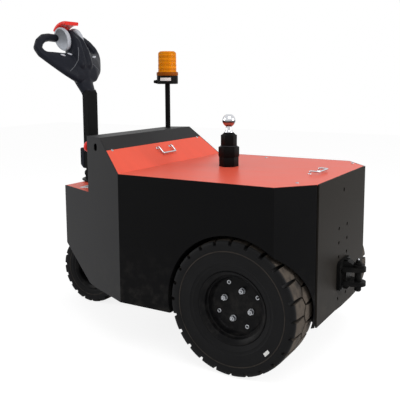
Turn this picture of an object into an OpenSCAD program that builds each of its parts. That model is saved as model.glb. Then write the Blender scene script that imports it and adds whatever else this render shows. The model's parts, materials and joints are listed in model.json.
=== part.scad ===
// Pedestrian electric tow tractor: two driven rear wheels, one steered front wheel under a tiller,
// a towing jaw with a drop pin at the rear and a tow ball on the deck. Millimetres, +Z up.
// +X points to the tiller end. The origin is on the floor, below the middle of the overall box.
// Lengths along the body are chained from the rear axle, heights from the deck.

/* [Rear wheels] */
// Radius of a rear tyre over its lugs
rear_tyre_r = 228; // [215:1:240]
// Width of a rear tyre
rear_tyre_w = 160; // [130:1:170]
// Height of a rear tyre's wall above the rim's flange
rear_sidewall = 105; // [90:1:115]
// How far a rear tyre stands out past the side panel
tyre_proud = 6; // [2:1:12]
// How deep the wheel disc's face lies inside the rim
disc_depth = 50; // [30:1:60]
// Lugs along each shoulder of a rear tyre
rear_lugs = 24; // [18:1:28]
// Width of the groove between two lugs
lug_gap = 17; // [10:1:22]
// Depth of the grooves between a rear tyre's lugs
lug_depth = 13; // [8:1:16]

/* [Front wheel] */
// Radius of the front tyre over its lugs
front_tyre_r = 150; // [140:1:160]
// Width of the front tyre
front_tyre_w = 84; // [70:1:92]
// Height of the front tyre's wall above the rim's flange
front_sidewall = 60; // [50:1:70]
// Depth of the grooves between the front tyre's lugs
front_lug_depth = 9; // [6:1:12]
// Lugs along each shoulder of the front tyre
front_lugs = 20; // [16:1:24]
// How far the steering axis lies behind the nose
steer_back = 59; // [45:1:70]
// How far the front axle lies ahead of the steering axis
trail = 65; // [50:1:75]

/* [Body] */
// Half the width over the side panels
body_half_w = 370; // [350:1:385]
// Height of the flat deck
deck_z = 639; // [610:1:660]
// How far the body's lower edge lies below the rear axle
skirt_drop = 56; // [40:1:65]
// Gap between a rear tyre and the rear plate
plate_gap = 21; // [18:1:35]
// Half the width of the rear plate
rear_half_w = 248; // [235:1:260]
// Length of the rear chamfer along the body
chamfer_len = 100; // [80:1:115]
// Start of the front taper, ahead of the rear axle
taper_start = 447; // [430:1:460]
// Length of the slope between the deck and the cowl's top
slope_run = 124; // [110:1:135]
// Length of the cowl's flat top
cowl_top_len = 93; // [80:1:105]
// Length of the nose deck, from the cowl's wall to the nose
nose_len = 195; // [180:1:210]
// Half the width of the nose at its front
nose_half_w = 190; // [175:1:205]
// How far the nose deck lies below the main deck
nose_drop = 97; // [85:1:110]
// Height of the nose's front edge on each side
nose_edge_h = 239; // [225:1:250]
// Length over which the nose's lower edge rises
rise_run = 187; // [170:1:200]
// Height of the cowl's top above the deck
cowl_rise = 118; // [105:1:130]
// How far the red slope stops short of the cowl's top
seam_back = 45; // [35:1:55]
// Thickness of the body sheets
sheet = 4; // [3:0.5:5]
// Thickness of the rear plate
rear_plate_t = 6; // [5:1:10]
// Gap between a rear tyre and its arch
arch_gap = 13; // [10:1:16]

/* [Hitch] */
// How far the jaw stands out behind the rear plate
jaw_out = 84; // [76:1:96]
// Height of the middle of the jaw above the body's lower edge
jaw_rise = 115; // [105:1:125]
// Opening between the jaws
jaw_gap = 36; // [30:1:45]
// Thickness of each jaw
jaw_t = 15; // [12:1:18]
// Radius of the tow pin
pin_r = 12; // [10:0.5:13]
// Radius of the round end of a jaw
jaw_end_r = 27; // [24:1:30]
// Radius of the rear plate's bolt holes
hole_r = 6.5; // [5:0.5:7]
// Distance between the two columns of bolt holes
hole_dy = 87; // [80:1:95]
// Distance between two rows of bolt holes
hole_dz = 50; // [45:1:55]

/* [Tow ball] */
// Ball's distance ahead of the rear axle
ball_x = 203; // [180:1:220]
// Radius of the tow ball
ball_r = 25; // [20:0.5:30]
// Height of the ball's centre above its tower
ball_lift = 46; // [40:1:52]
// Height of the tower's foot
tower_foot_h = 36; // [30:1:42]
// Height of the tower's nut
tower_nut_h = 40; // [34:1:46]
// Height of the tower's riser
tower_riser_h = 50; // [44:1:56]

/* [Beacon] */
// Height of the beacon's pole above the cowl
pole_h = 190; // [150:1:230]
// Radius of the beacon's pole
pole_r = 11; // [9:0.5:13]
// Radius of the beacon's dome
dome_r = 39; // [34:1:44]
// Height of the beacon's dome
dome_h = 90; // [80:1:100]
// Distance from the pole to the cowl's edge on that side
beacon_inset = 70; // [50:1:90]
// Distance from the pole to the cowl's wall
beacon_back = 39; // [30:1:50]

/* [Tiller] */
// Height of the tiller's tilt pin above the nose deck
tilt_rise = 28; // [26:1:34]
// How far the tiller's column stands ahead of the steering axis
column_lead = 76; // [68:1:82]
// Length of the tiller's column, from the tilt pin to its bend
column_len = 335; // [310:1:360]
// Width of the tiller's column
column_w = 63; // [55:1:70]
// Depth of the tiller's column
column_d = 29; // [25:1:35]
// Lean of the tiller's head, degrees
head_lean = 28; // [22:1:32]
// Half the width over the hand loops
loop_half_w = 187; // [175:1:200]
// Thickness of a hand loop
loop_t = 36; // [30:1:40]
// Radius of the tiller's hub
hub_r = 58; // [52:1:64]
// Thickness of the red cap over the hub
cap_t = 15; // [12:1:18]

/* [Hidden] */
$fn = 64;
seat_gap = 0.3;
pin_play = 0.05;
weld = 1;

// Heights
skirt_z = rear_tyre_r - skirt_drop;
nose_z = deck_z - nose_drop;
nose_corner_z = nose_z - nose_edge_h;
cowl_z = deck_z + cowl_rise;
tilt_z = nose_z + tilt_rise;
neck_z = tilt_z + column_len;
jaw_z = skirt_z + jaw_rise;

// Reaches ahead of the rear axle, and behind it for the rear plate and the jaw
plate_reach = rear_tyre_r + plate_gap;
jaw_reach = plate_reach + jaw_out;
cowl_top_start = taper_start + slope_run;
cowl_wall = cowl_top_start + cowl_top_len;
nose_reach = cowl_wall + nose_len;
steer_reach = nose_reach - steer_back;
wheelbase = steer_reach + trail;
column_reach = steer_reach + column_lead;

// The hub at the top of the tiller's head, measured from the column's bend
hub_ahead = 93;
hub_up = 232;
// Where the red cap over the hub starts and ends, degrees above forward
cap_front = 25;
cap_back = 112;
front_reach = max(wheelbase + front_tyre_r, column_reach + hub_ahead + (hub_r + cap_t) * cos(cap_front));

// Places along X
rear_x = (jaw_reach - front_reach) / 2;
plate_x = rear_x - plate_reach;
pin_x = rear_x - jaw_reach + jaw_end_r;
taper_x = rear_x + taper_start;
top_x = rear_x + cowl_top_start;
seam_x = top_x - seam_back;
cowl_x = rear_x + cowl_wall;
nose_x = rear_x + nose_reach;
rise_x = nose_x - rise_run;
steer_x = rear_x + steer_reach;
front_x = rear_x + wheelbase;
column_x = rear_x + column_reach;

// The body's plan outline, left side from nose to rear plate
P_X = 0;
P_Y = 1;
PLAN = [[nose_x, nose_half_w], [taper_x, body_half_w],
        [plate_x + chamfer_len, body_half_w], [plate_x, rear_half_w]];
// Half the body's width at a place along the taper
function taper_half_w(x) =
    body_half_w - (body_half_w - nose_half_w) * (x - taper_x) / (nose_x - taper_x);

// Slope of the red panel and the height where black meets red
slope = cowl_rise / slope_run;
slope_angle = atan(slope);
seam_z = cowl_z - slope * seam_back;
seam_in_x = seam_x + sheet * sin(slope_angle);
seam_in_z = seam_z - sheet * cos(slope_angle);

// Rear wheels
rear_wheel_y = body_half_w + tyre_proud - rear_tyre_w / 2;
arch_r = rear_tyre_r + arch_gap;
house_gap = 10;
house_y = rear_wheel_y - rear_tyre_w / 2 - house_gap;
rear_flange_r = rear_tyre_r - rear_sidewall;
front_flange_r = front_tyre_r - front_sidewall;
rim_wall = 5;
rim_lip = 4;
lip_h = 11;
bead_in = 16;
disc_t = 8;

// Steering: heights from the front tyre up, and from the nose deck up
crown_gap = 12;
crown_t = 16;
crown_z = 2 * front_tyre_r + crown_gap;
nose_front_z = crown_z + crown_t + 22;
head_tube_z = nose_front_z + 70;
shaft_r = 25;
head_tube_r = 45;
table_r = 100;
table_t = 6;
table_z = nose_z + 3;
table_top_z = table_z + table_t;
leg_t = 10;
leg_gap = 8;
leg_y = front_tyre_w / 2 + leg_gap;
axle_r = 10;

// Colours
panel_black = [0.13, 0.13, 0.14];
panel_grey = [0.27, 0.27, 0.29];
cover_red = [0.75, 0.08, 0.09];
steel = [0.72, 0.73, 0.75];
rubber = [0.07, 0.07, 0.07];
dark_grey = [0.2, 0.2, 0.22];

// Corner of two edges of an outline after both move inwards by d
function unit(v) = v / norm(v);
function left_of(v) = [-v[1], v[0]];
function meet(p, u, q, v) = p + u * (cross(v, p - q) / cross(u, v));
function inset_point(pts, i, d) =
    let (n = len(pts), a = pts[(i + n - 1) % n], b = pts[i], c = pts[(i + 1) % n],
         u = unit(b - a), v = unit(c - b))
    meet(b + left_of(u) * d, u, b + left_of(v) * d, v);
function inset(pts, d) = [for (i = [0:len(pts) - 1]) inset_point(pts, i, d)];
function mirrored(pts) = concat(pts, [for (i = [len(pts) - 1:-1:0]) [pts[i][P_X], -pts[i][P_Y]]]);
function plan(d) = inset(mirrored(PLAN), d);

module side(s) { if (s > 0) children(); else mirror([0, 1, 0]) children(); }
module along_y(y = 0) { translate([0, y, 0]) rotate([-90, 0, 0]) children(); }
module along_x(x = 0) { translate([x, 0, 0]) rotate([0, 90, 0]) children(); }

// A profile drawn in X and Z, made as wide as w across Y
module across(w, y = 0) translate([0, y + w / 2, 0]) rotate([90, 0, 0]) linear_extrude(w) children();

// A bar between two circles in a plane, with tangent sides
module link2d(a, b, ra, rb) {
    d = norm(b - a);
    t = acos((ra - rb) / d);
    base = atan2(b[1] - a[1], b[0] - a[0]);
    translate(a) circle(ra);
    translate(b) circle(rb);
    polygon([a + ra * [cos(base + t), sin(base + t)], a + ra * [cos(base - t), sin(base - t)],
             b + rb * [cos(base - t), sin(base - t)], b + rb * [cos(base + t), sin(base + t)]]);
}

// A slot with round ends, its long way along the second axis
module slot2d(w, h) {
    for (s = [-1, 1]) translate([0, s * (h - w) / 2]) circle(w / 2);
    square([w, h - w], center = true);
}

// Wall of the body between plan corners i and i + 1, from z0 to z1
module plan_wall(i, z0, z1) {
    outer = mirrored(PLAN);
    inner = plan(sheet);
    j = (i + 1) % len(outer);
    translate([0, 0, z0]) linear_extrude(z1 - z0) polygon([outer[i], outer[j], inner[j], inner[i]]);
}

module plan_solid(d, z0, z1) translate([0, 0, z0]) linear_extrude(z1 - z0) polygon(plan(d));

// A block between two places along X and two heights, w to each side
module between(x0, x1, z0, z1, w = body_half_w) translate([x0, -w, z0]) cube([x1 - x0, 2 * w, z1 - z0]);

// Body panels

module side_panel(s) color(panel_black) side(s) difference() {
    union() {
        plan_wall(1, skirt_z, deck_z);
        plan_wall(2, skirt_z, deck_z);
    }
    translate([rear_x, 0, rear_tyre_r]) along_y() cylinder(r = arch_r, h = body_half_w + weld);
    between(plate_x - weld, plate_x + rear_plate_t, skirt_z - weld, deck_z + weld);
}

// The nose's lower edge rises a little, then steeply
rise_step = 10;
rise_bend = 39;
module shoulder_profile() polygon([
    [taper_x - weld, skirt_z], [taper_x, deck_z], [top_x, cowl_z], [cowl_x, cowl_z],
    [cowl_x, nose_z], [nose_x + weld, nose_z], [nose_x + weld, nose_corner_z],
    [rise_x, skirt_z + rise_step], [rise_x - rise_bend, skirt_z + rise_step / 2]]);

// Lifting slot in each shoulder
slot_back = 64;
slot_down = 37;
slot_w = 21;
slot_h = 28;
module shoulder(s) color(panel_grey) side(s) difference() {
    intersection() {
        plan_wall(0, skirt_z, cowl_z);
        across(2 * body_half_w + 2 * weld) shoulder_profile();
    }
    translate([cowl_x - slot_back, body_half_w, cowl_z - slot_down]) rotate([90, 0, 0])
        linear_extrude(body_half_w) slot2d(slot_w, slot_h);
}

// Bolt holes in two columns, the rows counted up from the lowest; the jaw covers two rows
hole_z0 = jaw_z - 1.6 * hole_dz;
FREE_ROWS = [0, 3, 4, 5];
JAW_ROWS = [1, 2];
lock_drop = 52;
lock_r = 7;
module bolt_holes(rows, x, depth) for (row = rows, s = [-1, 1])
    translate([0, s * hole_dy / 2, hole_z0 + row * hole_dz]) along_x(x) cylinder(r = hole_r, h = depth);

module rear_plate() color(panel_grey) difference() {
    between(plate_x, plate_x + rear_plate_t, skirt_z, deck_z, rear_half_w);
    bolt_holes(FREE_ROWS, plate_x - weld, rear_plate_t + 2 * weld);
    translate([0, 0, deck_z - lock_drop]) along_x(plate_x - weld) cylinder(r = lock_r, h = rear_plate_t + 2 * weld);
}

module nose_front() color(panel_grey) plan_wall(7, nose_front_z, nose_z - sheet);

shaft_hole_r = shaft_r + 5;
module nose_deck() color(cover_red) difference() {
    intersection() {
        plan_solid(sheet, nose_z - sheet, nose_z);
        between(cowl_x - sheet, nose_x, nose_z - sheet, nose_z);
    }
    translate([steer_x, 0, nose_z - 2 * sheet]) cylinder(r = shaft_hole_r, h = 3 * sheet);
}

module cowl_top() color(panel_black) intersection() {
    across(2 * body_half_w) polygon([
        [seam_x, seam_z], [top_x, cowl_z], [cowl_x, cowl_z], [cowl_x, nose_z],
        [cowl_x - sheet, nose_z], [cowl_x - sheet, cowl_z - sheet],
        [top_x + sheet * tan(slope_angle / 2), cowl_z - sheet], [seam_in_x, seam_in_z]]);
    plan_solid(sheet, nose_z, cowl_z);
}

module red_cover() color(cover_red) intersection() {
    across(2 * body_half_w) polygon([
        [plate_x + rear_plate_t, deck_z - sheet], [plate_x + rear_plate_t, deck_z], [taper_x, deck_z],
        [seam_x, seam_z], [seam_in_x, seam_in_z], [taper_x + sheet * tan(slope_angle / 2), deck_z - sheet]]);
    plan_solid(sheet, deck_z - sheet, cowl_z);
}

// Opening in the floor under the drive, inside the wheelhouses
floor_rim = 52;
drive_hole_len = 230;
floor_back = 12;
module floor_plate() color(panel_black) difference() {
    intersection() {
        plan_solid(sheet, skirt_z, skirt_z + sheet);
        union() {
            between(plate_x, nose_x, skirt_z, deck_z, house_y - sheet);
            between(rear_x + arch_r + 2 * weld, nose_x, skirt_z, deck_z);
        }
        between(plate_x + rear_plate_t, rise_x - floor_back, skirt_z, deck_z);
    }
    between(rear_x - drive_hole_len / 2, rear_x + drive_hole_len / 2, skirt_z - weld, deck_z,
            house_y - sheet - floor_rim);
}

axle_tube_r = 40;
module wheelhouse(s) color(panel_black) side(s) intersection() {
    translate([rear_x, 0, rear_tyre_r]) difference() {
        along_y(house_y - sheet) cylinder(r = arch_r + sheet, h = body_half_w);
        along_y(house_y) cylinder(r = arch_r, h = body_half_w);
        along_y() cylinder(r = axle_tube_r, h = body_half_w);
    }
    plan_solid(sheet, skirt_z, deck_z - sheet);
    between(plate_x + rear_plate_t, nose_x, skirt_z, deck_z);
}

// Drive line and battery, seen from below

case_r = 82;
case_w = 110;
gear_w = 90;
gear_h = 120;
gear_lead = 8;
motor_r = 70;
motor_len = 200;
motor_rise = 20;
module drive_axle() color(dark_grey) translate([rear_x, 0, rear_tyre_r]) {
    rotate([90, 0, 0]) cylinder(r = axle_tube_r, h = 2 * (house_y + sheet), center = true);
    rotate([90, 0, 0]) cylinder(r = case_r, h = case_w, center = true);
    between(0, case_r + gear_lead, motor_rise - gear_h / 2, motor_rise + gear_h / 2, gear_w / 2);
}
module drive_motor() color(dark_grey) translate([rear_x, 0, rear_tyre_r + motor_rise])
    along_x(case_r + gear_lead) cylinder(r = motor_r, h = motor_len);

battery_back = 300;
battery_len = 330;
battery_w = 440;
battery_h = 300;
module battery() color([0.3, 0.32, 0.35]) between(rear_x + battery_back, rear_x + battery_back + battery_len,
    skirt_z + sheet, skirt_z + sheet + battery_h, battery_w / 2);

// Handles, ball, beacon, hitch and stop button

handle_w = 138;
handle_rise = 32;
handle_bend = 15;
wire_r = 5;
foot_r = 9;
foot_t = 2;
module bow_handle() {
    for (s = [-1, 1]) translate([0, s * handle_w / 2, 0]) {
        cylinder(r = wire_r, h = handle_rise - handle_bend);
        cylinder(r = foot_r, h = foot_t);
        translate([0, -s * handle_bend, handle_rise - handle_bend]) rotate([90, 0, 90])
            rotate([0, 0, s > 0 ? 0 : 90])
                rotate_extrude(angle = 90) translate([handle_bend, 0]) circle(wire_r);
    }
    translate([0, 0, handle_rise]) rotate([90, 0, 0])
        cylinder(r = wire_r, h = handle_w - 2 * handle_bend, center = true);
}

module slope_handle() color(steel)
    translate([(taper_x + seam_x) / 2, 0, (deck_z + seam_z) / 2]) rotate([0, -slope_angle, 0]) bow_handle();

deck_handle_in = 107;
module deck_handle() color(steel) translate([plate_x + deck_handle_in, 0, deck_z]) bow_handle();

// Ball tower of three hexagons, each by its corner radius, and a cone
tower_foot_r = 35;
tower_nut_r = 39;
tower_riser_r = 27.5;
cone_h = 12;
neck_r = 12;
neck_flare = 4;
tower_h = tower_foot_h + tower_nut_h + tower_riser_h;
module hex(r, z0, z1) translate([0, 0, z0]) rotate([0, 0, 30]) cylinder(r = r, h = z1 - z0, $fn = 6);
module ball_tower() color(panel_black) translate([rear_x + ball_x, 0, deck_z]) {
    hex(tower_foot_r, 0, tower_foot_h + weld);
    hex(tower_nut_r, tower_foot_h, tower_foot_h + tower_nut_h);
    hex(tower_riser_r, tower_foot_h + tower_nut_h - weld, tower_h - cone_h);
    translate([0, 0, tower_h - cone_h - weld]) cylinder(r = tower_riser_r * cos(30) - weld, h = weld);
    translate([0, 0, tower_h - cone_h])
        cylinder(r1 = tower_riser_r * cos(30) - weld, r2 = neck_r + neck_flare, h = cone_h);
}

module tow_ball() color(steel) translate([rear_x + ball_x, 0, deck_z + tower_h]) {
    cylinder(r1 = neck_r + neck_flare, r2 = neck_r, h = 6);
    cylinder(r = neck_r, h = ball_lift);
    translate([0, 0, ball_lift]) sphere(ball_r);
}

beacon_base_h = 36;
beacon_rim = 8;
beacon_rim_h = 15;
beacon_chamfer = 8;
gland_r = 7;
gland_len = 11;
base_r = dome_r + beacon_rim - weld;
module at_beacon(h)
    translate([cowl_x - beacon_back, beacon_inset - taper_half_w(cowl_x - beacon_back), cowl_z + h]) children();
module beacon_pole() color(panel_black) at_beacon(0) cylinder(r = pole_r, h = pole_h);
module beacon_base() color(rubber) at_beacon(pole_h) {
    cylinder(r1 = base_r - beacon_chamfer, r2 = base_r, h = beacon_chamfer);
    translate([0, 0, beacon_chamfer]) cylinder(r = base_r, h = beacon_base_h - beacon_chamfer);
    rotate([0, 0, 30]) translate([0, 0, beacon_base_h / 2]) along_x(base_r - 2 * weld)
        cylinder(r = gland_r, h = gland_len + 2 * weld);
}
module beacon_lens() color([0.95, 0.45, 0.05]) at_beacon(pole_h + beacon_base_h) {
    cylinder(r = dome_r + beacon_rim, h = beacon_rim_h);
    translate([0, 0, beacon_rim_h]) cylinder(r = dome_r, h = dome_h - beacon_chamfer);
    translate([0, 0, beacon_rim_h + dome_h - beacon_chamfer])
        cylinder(r1 = dome_r, r2 = dome_r - beacon_chamfer, h = beacon_chamfer);
}

jaw_base_t = 12;
jaw_base_w = 120;
jaw_base_down = 49;
jaw_base_up = 55;
jaw_wide_r = 42;
jaw_boss_r = 21;
jaw_boss_t = 8;
web_t = 12;
web_w = 60;
jaw_x = plate_x - jaw_base_t;
module jaw_plan() intersection() {
    link2d([jaw_x, 0], [pin_x, 0], jaw_wide_r, jaw_end_r);
    translate([pin_x - 2 * jaw_end_r, -jaw_base_w / 2]) square([jaw_x - pin_x + 2 * jaw_end_r, jaw_base_w]);
}
// Rib from the base plate's edge to a jaw, drawn in X and Z
module jaw_rib(s, z_base) {
    z_jaw = jaw_z + s * (jaw_gap / 2 + jaw_t);
    polygon([[jaw_x, z_base], [jaw_x, z_jaw - s * weld], [pin_x + jaw_boss_r, z_jaw - s * weld],
             [pin_x + jaw_boss_r, z_jaw], [jaw_x - web_t, z_base]]);
}
module hitch_jaw() color(rubber) difference() {
    union() {
        translate([0, 0, jaw_z]) between(jaw_x, plate_x, -jaw_base_down, jaw_base_up, jaw_base_w / 2);
        for (z = [jaw_z - jaw_gap / 2 - jaw_t, jaw_z + jaw_gap / 2])
            translate([0, 0, z]) linear_extrude(jaw_t) jaw_plan();
        translate([0, 0, jaw_z]) between(jaw_x - web_t, jaw_x + weld, -jaw_gap / 2 - weld, jaw_gap / 2 + weld, web_w / 2);
        translate([pin_x, 0, jaw_z + jaw_gap / 2 + weld]) cylinder(r = jaw_boss_r, h = jaw_t + jaw_boss_t - weld);
        across(web_w / 2) jaw_rib(1, jaw_z + jaw_base_up);
        across(web_w / 2) jaw_rib(-1, jaw_z - jaw_base_down);
    }
    translate([pin_x, 0, 0]) cylinder(r = pin_r + pin_play, h = deck_z);
    bolt_holes(JAW_ROWS, jaw_x - weld, jaw_base_t + 2 * weld);
}

pin_foot = 55;
collar_t = 6;
collar_r = 20;
knob_r = 8;
knob_h = 15;
collar_z = jaw_z + jaw_gap / 2 + jaw_t + jaw_boss_t + seat_gap;
module hitch_pin() color(steel) translate([pin_x, 0, 0]) {
    translate([0, 0, jaw_z - pin_foot]) cylinder(r = pin_r, h = collar_z + weld - jaw_z + pin_foot);
    translate([0, 0, collar_z]) cylinder(r = collar_r, h = collar_t);
    translate([0, 0, collar_z + collar_t]) cylinder(r = knob_r, h = knob_h);
}

stop_inset = 40;
stop_drop = 45;
stop_neck = 22;
stop_cap = 18;
stop_r = 20;
module emergency_stop() color([0.8, 0.1, 0.08])
    translate([0, taper_half_w(cowl_x) - stop_inset, cowl_z - stop_drop]) along_x(cowl_x) {
        cylinder(r = 0.7 * stop_r, h = stop_neck);
        translate([0, 0, stop_neck]) cylinder(r = stop_r, h = stop_cap);
    }

// Steering: the bearing in the nose, the fork below and the turntable above

beam_w = 320;
beam_back = 110;
beam_front = 50;
beam_t = 12;
module steering_head() color(panel_black) difference() {
    union() {
        translate([steer_x, 0, head_tube_z]) cylinder(r = head_tube_r, h = nose_z - sheet - head_tube_z);
        between(steer_x - beam_back, steer_x + beam_front, nose_z - sheet - beam_t, nose_z - sheet, beam_w / 2);
    }
    translate([steer_x, 0, 0]) cylinder(r = shaft_r + pin_play, h = cowl_z);
}

seat_ring_r = 62;
module seat_ring() color(steel) translate([steer_x, 0, nose_z]) difference() {
    cylinder(r = seat_ring_r, h = table_z - nose_z - seat_gap);
    translate([0, 0, -weld]) cylinder(r = shaft_hole_r, h = table_z - nose_z + 2 * weld);
}

crown_back = 34;
crown_ahead = 40;
leg_top_r = 37;
leg_foot_r = 24;
leg_down = 20;
module steer_fork() color(rubber) {
    translate([steer_x, 0, crown_z]) cylinder(r = shaft_r, h = table_z - crown_z);
    between(steer_x - crown_back, steer_x + crown_ahead, crown_z, crown_z + crown_t, leg_y + leg_t);
    for (s = [-1, 1]) across(leg_t, s * (leg_y + leg_t / 2)) difference() {
        link2d([steer_x + (crown_ahead - crown_back) / 2, crown_z - leg_down], [front_x, front_tyre_r],
               leg_top_r, leg_foot_r);
        translate([steer_x - 2 * leg_top_r, crown_z]) square([4 * leg_top_r, leg_top_r]);
        translate([front_x, front_tyre_r]) circle(axle_r);
    }
}

module turntable() color(rubber) translate([steer_x, 0, table_z]) cylinder(r = table_r, h = table_t);

ear_t = 9;
ear_gap = 46;
ear_r = 15;
ear_back = 22;
ear_base_h = 10;
tilt_r = 6;
module tiller_foot() color(rubber) for (s = [-1, 1])
    across(ear_t, s * (ear_gap + ear_t) / 2) difference() {
        union() {
            link2d([column_x - ear_back, table_top_z + ear_r - 3 * weld], [column_x, tilt_z], ear_r, ear_r);
            translate([column_x - 2 * ear_back, table_top_z]) square([2 * ear_back + ear_base_h, ear_base_h]);
        }
        translate([column_x, tilt_z]) circle(tilt_r - pin_play);
        translate([column_x - 4 * ear_r, table_top_z - 3 * ear_r]) square([8 * ear_r, 3 * ear_r]);
    }

module tilt_pin() color(steel) translate([column_x, 0, tilt_z]) rotate([90, 0, 0])
    cylinder(r = tilt_r - 2 * pin_play, h = ear_gap + 2 * ear_t + 6, center = true);

// Wheels

// A tyre with grooves cut from each shoulder to near the middle
crown_in = 7;
shoulder_drop = 24;
land_w = 12;
module tyre(r, w, seat, lugs, gap, depth) {
    h = w / 2;
    lip = seat + lip_h + weld;
    bead = h - bead_in;
    half = [[seat, bead], [lip, bead], [lip + 4, h - 6], [(lip + r) / 2, h], [r - shoulder_drop, h],
            [r - crown_in, h - 9], [r, 0.55 * h]];
    far = [for (i = [len(half) - 1:-1:0]) [half[i][0], -half[i][1]]];
    difference() {
        rotate([90, 0, 0]) rotate_extrude() polygon(concat(half, far));
        for (s = [-1, 1], i = [0:lugs - 1]) rotate([0, (i + (s > 0 ? 0 : 0.5)) * 360 / lugs, 0])
            translate([-gap / 2, s > 0 ? land_w : -h - weld, r - depth]) cube([gap, h - land_w + weld, depth + weld]);
    }
}

// A rim's barrel with its two lips
module rim(r_flange, w) {
    seat = r_flange - lip_h;
    h = w / 2 - bead_in;
    rotate([90, 0, 0]) difference() {
        union() {
            cylinder(r = seat, h = 2 * h, center = true);
            for (s = [-1, 1]) translate([0, 0, s * (h + rim_lip / 2)])
                cylinder(r = r_flange, h = rim_lip, center = true);
        }
        cylinder(r = seat - rim_wall, h = w, center = true);
    }
}

rear_seat_r = rear_flange_r - lip_h;
front_seat_r = front_flange_r - lip_h;
rear_disc_y = rear_tyre_w / 2 - bead_in + rim_lip - disc_depth - disc_t;
hub_in = rear_wheel_y - house_y - sheet - seat_gap;
rear_hub_r = 34;
hub_proud = 12;
module rear_rim() {
    rim(rear_flange_r, rear_tyre_w);
    along_y(rear_disc_y) cylinder(r = rear_seat_r - rim_wall + weld, h = disc_t);
    along_y(-hub_in) cylinder(r = rear_hub_r, h = hub_in + rear_disc_y + disc_t + hub_proud);
}

module at_rear_wheel(s) side(s) translate([rear_x, rear_wheel_y, rear_tyre_r]) children();
module rim_node(s) color(dark_grey) at_rear_wheel(s) rear_rim();
module tyre_node(s) color(rubber) at_rear_wheel(s)
    tyre(rear_tyre_r, rear_tyre_w, rear_seat_r, rear_lugs, lug_gap, lug_depth);

front_hub_r = 26;
module at_front_wheel() translate([front_x, 0, front_tyre_r]) children();
module front_rim() color(dark_grey) at_front_wheel() {
    rim(front_flange_r, front_tyre_w);
    rotate([90, 0, 0]) difference() {
        union() {
            cylinder(r = front_seat_r - rim_wall + weld, h = disc_t, center = true);
            cylinder(r = front_hub_r, h = 2 * (leg_y - seat_gap), center = true);
        }
        cylinder(r = axle_r + pin_play, h = 3 * leg_y, center = true);
    }
}
module front_tyre() color(rubber) at_front_wheel()
    tyre(front_tyre_r, front_tyre_w, front_seat_r, front_lugs, lug_gap, front_lug_depth);
module front_axle() color(steel) at_front_wheel() rotate([90, 0, 0])
    cylinder(r = axle_r, h = 2 * (leg_y + leg_t) + 10, center = true);

// Tiller: the column bends at the neck and carries the head

knuckle_r = 13;
knuckle_rise = 20;
neck_top = 15;
half_d = column_d / 2;
lean_dir = [sin(head_lean), cos(head_lean)];
lean_out = [cos(head_lean), -sin(head_lean)];
module tiller_column() color(rubber) difference() {
    union() {
        across(column_w) translate([column_x, neck_z]) polygon([
            [-half_d, knuckle_rise - column_len], [half_d, knuckle_rise - column_len],
            [half_d, -half_d * tan(head_lean / 2)],
            neck_top * lean_dir + half_d * lean_out, neck_top * lean_dir - half_d * lean_out,
            [-half_d, half_d * tan(head_lean / 2)]]);
        across(ear_gap - 2) link2d([column_x, tilt_z], [column_x, tilt_z + knuckle_rise + 10],
                                   knuckle_r, knuckle_r + 1);
    }
    translate([column_x, 0, tilt_z]) rotate([90, 0, 0]) cylinder(r = tilt_r, h = 2 * column_w, center = true);
}

cover_foot = 24;
cover_belly = 60;
cover_top = 102;
cover_proud = 20;
cover_slant = 14;
module spring_cover() color(rubber) across(column_w + 8) translate([column_x + half_d, tilt_z]) polygon([
    [0, cover_foot], [4, cover_foot + 2], [cover_proud, cover_belly], [cover_proud, cover_top],
    [0, cover_top + cover_slant]]);

module in_head() translate([column_x, 0, neck_z]) rotate([0, head_lean, 0]) children();
// A shape drawn in Y and Z of the head, made t thick about x
module head_plate(t, x = 0) translate([x - t / 2, 0, 0]) rotate([90, 0, 90]) linear_extrude(t) children();

hub_x = column_x + hub_ahead;
hub_z = neck_z + hub_up;
wing_r = 46;
wing_stretch = 5;
wing_t = 27;
wing_y = 29;
wing_end = wing_y + wing_t;
cup_gap = 3;
module wing2d(grow = 0) rotate(-head_lean) slot2d(2 * (wing_r + grow), 2 * (wing_r + grow + wing_stretch));

// The head seen from the front: narrow neck, wide belly, narrower between the wings
belly_r = 60;
belly_up = 128;
waist_up = 45;
head_top = 350;
module head2d() {
    translate([-column_w / 2, 0]) square([column_w, waist_up]);
    link2d([0, waist_up], [0, belly_up], column_w / 2 + 2, belly_r);
    link2d([0, belly_up], [0, head_top], belly_r, wing_y - weld);
}
module tiller_head() color(rubber) difference() {
    intersection() {
        across(3 * belly_r) difference() {
            link2d([column_x + 4, neck_z + 10], [hub_x, hub_z], 0.75 * column_d, hub_r);
            translate([column_x, neck_z]) rotate(-head_lean) translate([-belly_r, -belly_r])
                square([2 * belly_r, belly_r + neck_top]);
        }
        in_head() head_plate(6 * belly_r) head2d();
    }
    for (s = [-1, 1]) across(belly_r, s * (wing_y + belly_r / 2)) translate([hub_x, hub_z]) wing2d(cup_gap);
}

// Hand loops: a wide lower arm, a round tip and an upper arm that ends at the throttle wing
loop_x = -4;
tip_r = 45;
tip_out = loop_half_w - tip_r;
tip_up = 196;
crest_out = tip_out - 2;
crest_up = 226;
crest_r = 33;
arm_out = 108;
arm_up = 264;
arm_r = 22;
arm_end_r = 17;
root_out = 70;
root_up = 118;
root_r = 44;
module hand_loops() color(rubber) in_head() for (s = [-1, 1]) side(s) head_plate(loop_t, loop_x) difference() {
    union() {
        link2d([root_out, root_up], [tip_out, tip_up], root_r, tip_r);
        link2d([tip_out, tip_up], [crest_out, crest_up], tip_r, crest_r);
        link2d([crest_out, crest_up], [arm_out, arm_up], crest_r, arm_r);
        link2d([arm_out, arm_up], [wing_y, arm_up + 4], arm_r, arm_end_r);
    }
    link2d([arm_out - 8, crest_up], [tip_out - 15, crest_up - 7], 26, 15);
    head2d();
    translate([0, root_up + root_r]) square([wing_end, hub_up]);
}

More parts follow.
